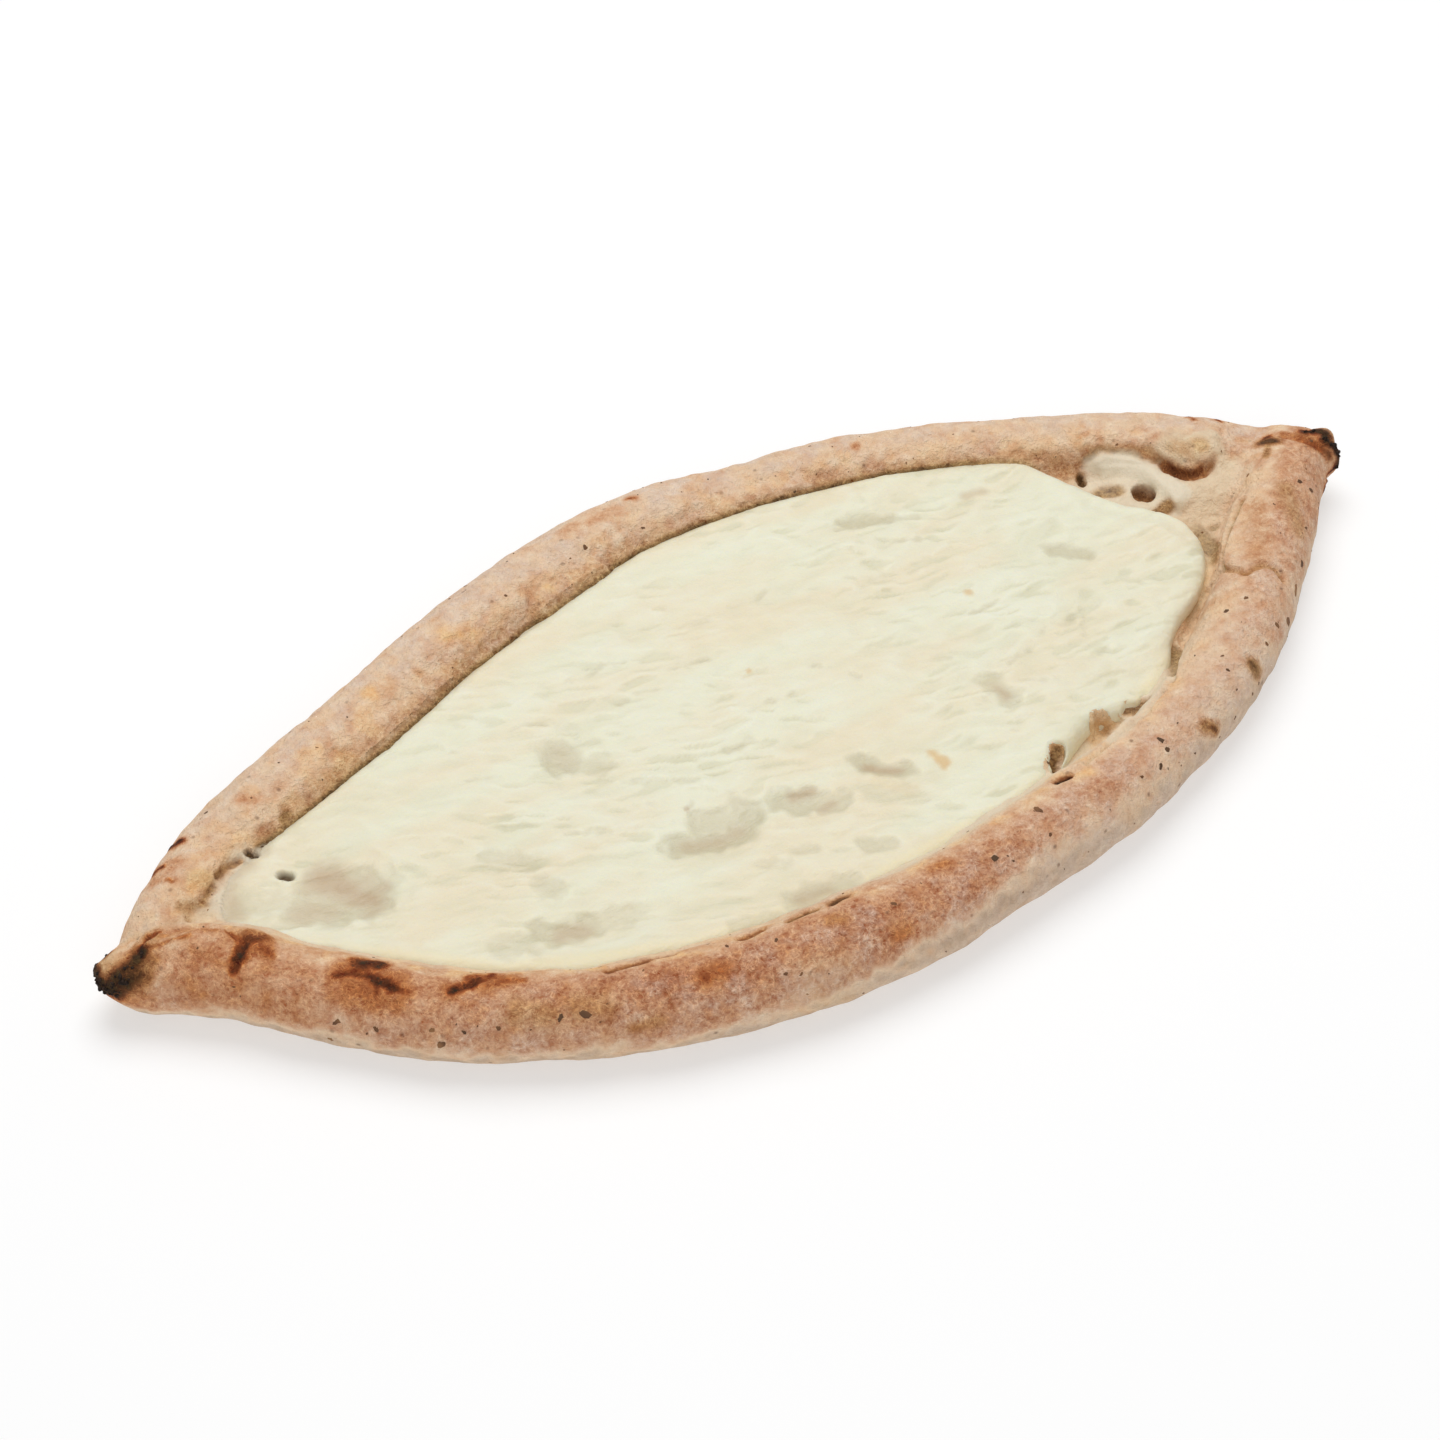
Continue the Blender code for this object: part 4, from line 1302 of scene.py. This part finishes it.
    def crumble(self, places, marks, crinkled, settings):
        """The skin's own relief: lumps, flour grain, crinkles on the sheet and nodules of char."""
        lumps, grain, nodules = (bumpy(places, *FIELDS[name]) for name in ("lumps", "grain", "char"))
        char = fade("char", marks["bake"])
        crumb = settings.lump_height * lumps + settings.grain_height * grain
        crumb += settings.crinkle_height * crinkled * crinkles(places) * (1 - 0.7 * marks["film"])
        crumb += settings.char_height * char * (nodules + 0.3)
        return crumb * fade("relief over the floor", places[:, 2])


class SFIHA_OT_melt_cheese(bpy.types.Operator):
    """Melts the cheese into the boat: long ripples, fine wrinkles, sunken wet places and a soft edge"""

    bl_idname = "sfiha.melt_cheese"
    bl_label = "Melt Cheese"

    def execute(self, context):
        settings = context.scene.sfiha_cheese
        crust = bpy.data.objects["crust"]
        crust_tree = surface_tree(crust)
        cheese = merged_copy(CHEESE_NODE, "melted_cheese")
        one_skin(cheese, settings.detail, CHEESE_ROUNDS)
        box_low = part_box(CHEESE_NODE)[0]
        underside = places_of(cheese.data)[:, 2] < box_low.z + CHEESE_UNDERSIDE_TOP
        thin_hidden(cheese, underside, CHEESE_KEPT)
        places, normals = places_of(cheese.data), normals_of(cheese.data)
        tree = surface_tree(cheese)
        top = fade("faces up", normals[:, 2])
        rise, ridge = self.ripple(places, settings)
        sink, marks = self.mark_top(places, tree, rise)

        # The cheese climbs a little on the near roll and dips along the far one, where its edge gets
        # painted shade in the thin cheese's colour.
        near_gap, far_gap = (around_roll(places, roll)[0] for roll in (NEAR_ROLL, FAR_ROLL))
        right = fade("cheese, right end", places[:, 0])
        left = fade("cheese, left end", places[:, 0])
        far_rim = fade("far rim", far_gap) * (1 - left)
        near_rim = fade("near rim", near_gap) * (1 - right) * (1 - left)
        marks["thin"] = np.maximum(marks["thin"], 0.55 * far_rim)
        rise *= 1 - 0.7 * far_rim
        sink += 0.7 * MM * fade("far dip", far_gap) * (1 - left)
        spread = 0.65 * MM + 0.5 * MM * near_rim
        places += normals * (spread + top * (rise * (1 - 0.6 * near_rim) - sink))[:, None]
        self.run_out(places, tree, crust_tree)
        move_to(cheese.data, places)
        store(cheese.data, ridge=ridge, rim=0.5 * near_rim, **marks)
        self.shade_seam(crust, cheese)
        cheese.data.shade_smooth()
        dress(cheese, CHEESE_SLOT, cheese_material(settings), CHEESE_NODE)
        return {"FINISHED"}

    def ripple(self, places, settings):
        """How far the ripples, folds, lumps and wrinkles rise, and how near its crests each place is, for
        the painted light and shade.
        """
        warp = 2.4 * MM * bumpy(places, *FIELDS["warp"]) + 0.7 * MM * bumpy(places, *FIELDS["fine warp"])
        lie = settings.lie + 0.5 * settings.fan * np.clip(places[:, 0] / 0.1, -1, 1)
        bent = turned(places, lie) + np.column_stack([warp, warp, 0 * warp])
        ripples, folds, cuts, lumps = (
            bumpy(bent, *FIELDS[name]) for name in ("ripples", "folds", "cuts", "curds"))
        busy = np.clip(0.5 + 1.3 * bumpy(places, *FIELDS["busy"]), 0.1, 1.0)
        folds = np.clip(1 - 3.0 * np.abs(folds), 0, 1)
        cuts = fade("cuts", cuts) * busy
        rise = settings.ripple_height * ripples + busy * settings.fold_height * folds
        rise += settings.lump_height * lumps - settings.wrinkle_height * cuts
        return rise, 0.5 + 0.18 * busy * folds + 0.14 * ripples + 0.20 * lumps - 0.38 * cuts

    def mark_top(self, places, tree, rise):
        """Sinks each wet place, wrinkle and hole, calms the rise there, and marks how thin they look; the
        wrinkles' look and the hole's dark are painted shade.
        """
        thin, spot, show, sink = np.zeros((4, len(places)))
        for weight, depth, look in marked(places, tree, "dent", DENTS.values()):
            sink = np.maximum(sink, depth * MM * weight)
            thin = np.maximum(thin, look * weight)
            rise *= 1 - 0.7 * weight * look
        fading = np.clip(0.7 + 1.0 * bumpy(places, *FIELDS["fading"]), 0.15, 1.0)
        # In the thin cheese's colour, as painted shade in each wrinkle.
        for weight, look in marked(places, tree, "wrinkle", WRINKLES):
            weight *= fading
            sink = np.maximum(sink, WRINKLE_DEPTH * MM * weight)
            thin = np.maximum(thin, 0.75 * look * weight)
        for weight, strength in marked(places, tree, "dough below", SHOWS.values()):
            show = np.maximum(show, strength * weight)
        for weight, strength in marked(places, tree, "spot", SPOTS.values()):
            spot = np.maximum(spot, strength * weight)
        hollow = painted(places, tree, CHEESE_HOLE, CHEESE_HOLE_RADIUS, "hole")
        sink = np.maximum(sink, CHEESE_HOLE_DEPTH * MM * hollow)
        return sink, {"thin": thin, "spot": spot, "hollow": hollow, "show": show}

    def run_out(self, places, tree, crust_tree):
        """Thins the cheese out over the dough at its ends, and opens the gaps in its edge."""
        for weight, most, _ in marked(places, tree, "thin edge", THIN_EDGES.values()):
            for index in np.flatnonzero(weight > 0.01):
                x, y, z = places[index]
                dough = crust_tree.ray_cast(Vector((x, y, 0.05)), Vector((0, 0, -1)))[0]
                if dough is not None and z > dough.z:
                    places[index, 2] -= weight[index] * min(z - dough.z + 0.1 * MM, most * MM)
        for (weight,) in marked(places, tree, "gap", CHEESE_GAPS.values()):
            places[:, 2] -= weight * GAP_DEPTH * MM

    def shade_seam(self, crust, cheese):
        """Paints shade, darkest in a thin contact shadow, on the dough where the cheese's edge isn't fused
        to it, most of all along the far roll.
        """
        places = places_of(crust.data)
        x = places[:, 0]
        gap = distance_to(surface_tree(cheese), places)
        on_near = around_roll(places, NEAR_ROLL)[0] < around_roll(places, FAR_ROLL)[0]
        loose = 1.0 - (on_near & (x < RIGHT_END) | (x < LEFT_END))
        shade = fade("seam shade", gap) * loose
        seam = fade("seam", gap) * loose
        # How dark this painted shade and contact shadow go along the bread, and how far they lean to olive.
        shaded, dark, wet = (
            np.interp(x, SPANS["seam pales"], tones) for tones in ((0.42, 0.30), (0.70, 0.22), (1.0, 0.85)))
        bake, damp, flour = (stored(crust.data, name) for name in ("bake", "damp", "flour"))
        bake += 0.6 * shade * np.maximum(shaded - bake, 0.0)
        bake += seam * np.maximum(dark - bake, 0.0)
        damp += np.maximum(0.5 * shade, seam) * wet * (1 - damp)
        flour *= (1 - 0.6 * shade) * (1 - seam)
        store(crust.data, bake=bake, damp=damp, flour=flour)


def drawn_size(settings, draw, leaning):
    """A random size between the settings' limits, leaning to the smallest."""
    return settings.smallest + (settings.largest - settings.smallest) * draw.random() ** leaning


def flake(work, place, normal, length, thickness, draw):
    """One thin torn plate of bran, lying on the crust and dug into it by half its thickness."""
    turn = Vector(normal).to_track_quat("Z", "Y").to_matrix().to_4x4()
    spin = Matrix.Rotation(draw.uniform(0, math.tau), 4, "Z")
    stretch = Matrix.Diagonal((1.0, draw.uniform(*FLAKE_WIDTHS), 1.0, 1.0))
    made = bmesh.ops.create_cone(
        work, cap_ends=True, segments=FLAKE_SIDES, radius1=length / 2, radius2=FLAKE_TOP * length,
        depth=thickness, matrix=Matrix.Translation(place) @ turn @ spin @ stretch)
    for vertex in made["verts"]:
        shift = Vector(draw.uniform(-FLAKE_TEAR, FLAKE_TEAR, 3) * length)
        vertex.co += shift - shift.project(Vector(normal))


class SFIHA_OT_press_bran(bpy.types.Operator):
    """Presses flakes of bran into the crust, the large ones where the photo shows them"""

    bl_idname = "sfiha.press_bran"
    bl_label = "Press Bran"

    def execute(self, context):
        settings = context.scene.sfiha_bran
        crust = bpy.data.objects["crust"]
        tree = surface_tree(crust)
        cheese_tree = surface_tree(bpy.data.objects["melted_cheese"])
        draw = np.random.default_rng(BRAN_SEED)
        work = bmesh.new()
        for pixel, length in LARGE_FLAKES.items():
            place = Vector(seen_at(tree, pixel)[0])
            flake(work, place, tree.find_nearest(place)[1], length * MM, settings.thickness, draw)
        places, normals = places_of(crust.data), normals_of(crust.data)
        open_skin = np.flatnonzero((places[:, 2] > FLAKE_LOWEST) & (normals[:, 2] > FLAKE_FACING))
        for index in draw.choice(open_skin, settings.count, replace=False):
            place = Vector(places[index])
            size = drawn_size(settings, draw, 2.5)
            if cheese_tree.ray_cast(place, Vector((0, 0, 1)))[0] is None:
                flake(work, place, normals[index], size, settings.thickness, draw)
        flakes = new_object("bran_flakes", mesh_of(work, "bran_flakes"))
        dress(flakes, DOUGH_SLOT, bran_material(settings))
        return {"FINISHED"}


class SFIHA_OT_burn_tips(bpy.types.Operator):
    """Sets brittle crumbs of char into the two burnt tips"""

    bl_idname = "sfiha.burn_tips"
    bl_label = "Burn Tips"

    def execute(self, context):
        settings = context.scene.sfiha_char
        crust = bpy.data.objects["crust"]
        places = places_of(crust.data)
        bake = stored(crust.data, "bake")
        at_tips = (np.abs(places[:, 0]) > CRUMB_X) & (places[:, 2] > CRUMB_LOWEST)
        burnt = np.flatnonzero((bake > CRUMB_BAKE) & at_tips)
        if not len(burnt):
            raise RuntimeError("the crust has no burnt tips; bake the crust first")
        draw = np.random.default_rng(CHAR_SEED)
        work = bmesh.new()
        for index in draw.choice(burnt, min(settings.count, len(burnt)), replace=False):
            radius = drawn_size(settings, draw, 2)
            shape = Matrix.Diagonal((*draw.uniform(*CRUMB_STRETCH, 3), 1.0))
            made = bmesh.ops.create_icosphere(
                work, subdivisions=2, radius=radius, matrix=Matrix.Translation(places[index]) @ shape)
            shift = draw.uniform(0, 50)
            for vertex in made["verts"]:
                out = vertex.co - Vector(places[index])
                pit = noise.noise(vertex.co / CRUMB_PIT_SIZE + Vector((shift,) * 3))
                vertex.co += out * CRUMB_PITS * pit
        crumbs = new_object("char_crumbs", mesh_of(work, "char_crumbs"))
        crumbs.data.shade_smooth()
        dress(crumbs, DOUGH_SLOT, char_material(settings))
        return {"FINISHED"}


class SFIHA_OT_set_stage(bpy.types.Operator):
    """Sets the camera at the photo's angle over a pale floor, in soft studio light"""

    bl_idname = "sfiha.set_stage"
    bl_label = "Set Stage"

    def execute(self, context):
        settings = context.scene.sfiha_stage
        scene = context.scene
        lens = bpy.data.cameras.new("camera")
        lens.lens = PHOTO_LENS
        lens.sensor_width = SENSOR_WIDTH
        camera = bpy.data.objects.new("camera", lens)
        camera.location = PHOTO_EYE
        camera.rotation_mode = "QUATERNION"
        camera.rotation_quaternion = (PHOTO_TARGET - PHOTO_EYE).to_track_quat("-Z", "Y")
        scene.collection.objects.link(camera)
        scene.camera = camera
        self.lay_floor(settings)
        self.hang_light("overhead soft box", settings.key_power, OVERHEAD_PLACE)
        self.hang_light("front soft box", settings.fill_power, FRONT_PLACE)
        world = bpy.data.worlds.new("white surroundings")
        world.use_nodes = True
        background = world.node_tree.nodes["Background"]
        background.inputs["Color"].default_value = (1.0, 1.0, 1.0, 1.0)
        background.inputs["Strength"].default_value = settings.sky
        scene.world = world
        scene.view_settings.view_transform = "Standard"
        return {"FINISHED"}

    def lay_floor(self, settings):
        """A sheet of matte acrylic, lit from within, so the eye gets a nearly white, even floor."""
        work = bmesh.new()
        bmesh.ops.create_grid(work, x_segments=1, y_segments=1, size=FLOOR_HALF)
        floor = new_object("floor", mesh_of(work, "floor"))
        made, tree = new_material("lit white acrylic")
        surface = add(tree, "ShaderNodeBsdfPrincipled", {
            "Base Color": settings.floor, "Roughness": 0.95, "Specular IOR Level": 0.1,
            "Emission Color": (1.0, 1.0, 1.0), "Emission Strength": settings.glow})
        add(tree, "ShaderNodeOutputMaterial", (surface,))
        floor.data.materials.append(made)
        floor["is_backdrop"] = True

    def hang_light(self, name, power, place):
        """A round soft box that looks at the middle of the bread."""
        lamp = bpy.data.lights.new(name, "AREA")
        lamp.shape = "DISK"
        lamp.size = BOX_WIDTH
        lamp.energy = power
        obj = bpy.data.objects.new(name, lamp)
        obj.location = place
        obj.rotation_mode = "QUATERNION"
        obj.rotation_quaternion = (-Vector(place)).to_track_quat("-Z", "Y")
        bpy.context.scene.collection.objects.link(obj)


class SFIHA_PT_panel(bpy.types.Panel):
    """The sfiha's settings and steps"""

    bl_idname = "SFIHA_PT_panel"
    bl_label = "Akkawi Cheese Sfiha"
    bl_space_type = "VIEW_3D"
    bl_region_type = "UI"
    bl_category = "Sfiha"

    def draw(self, context):
        for group_name, (_, operator) in STEPS.items():
            box = self.layout.box()
            group = getattr(context.scene, group_name)
            for name in group.bl_rna.properties.keys():
                if name not in ("rna_type", "name"):
                    box.prop(group, name)
            box.operator(operator.bl_idname)


# Each step's settings, by the name under which a scene keeps them, and its operator.
STEPS = {
    "sfiha_crust": (CrustSettings, SFIHA_OT_bake_crust),
    "sfiha_cheese": (CheeseSettings, SFIHA_OT_melt_cheese),
    "sfiha_bran": (BranSettings, SFIHA_OT_press_bran),
    "sfiha_char": (CharSettings, SFIHA_OT_burn_tips),
    "sfiha_stage": (StageSettings, SFIHA_OT_set_stage),
}
CLASSES = (*(cls for step in STEPS.values() for cls in step), SFIHA_PT_panel)


def register():
    for cls in CLASSES:
        bpy.utils.register_class(cls)
    for name, (group, _) in STEPS.items():
        setattr(bpy.types.Scene, name, PointerProperty(type=group))


def unregister():
    for name in STEPS:
        delattr(bpy.types.Scene, name)
    for cls in reversed(CLASSES):
        bpy.utils.unregister_class(cls)


def write_sizes():
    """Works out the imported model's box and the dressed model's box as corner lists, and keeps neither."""
    boxes = {"cad": CAD_BOX, "visual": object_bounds()}
    {name: [list(low), list(high)] for name, (low, high) in boxes.items()}


def main():
    register()
    bpy.ops.sfiha.bake_crust()
    bpy.ops.sfiha.melt_cheese()
    bpy.ops.sfiha.press_bran()
    bpy.ops.sfiha.burn_tips()
    bpy.ops.sfiha.set_stage()
    write_sizes()


if __name__ == "__main__":
    main()
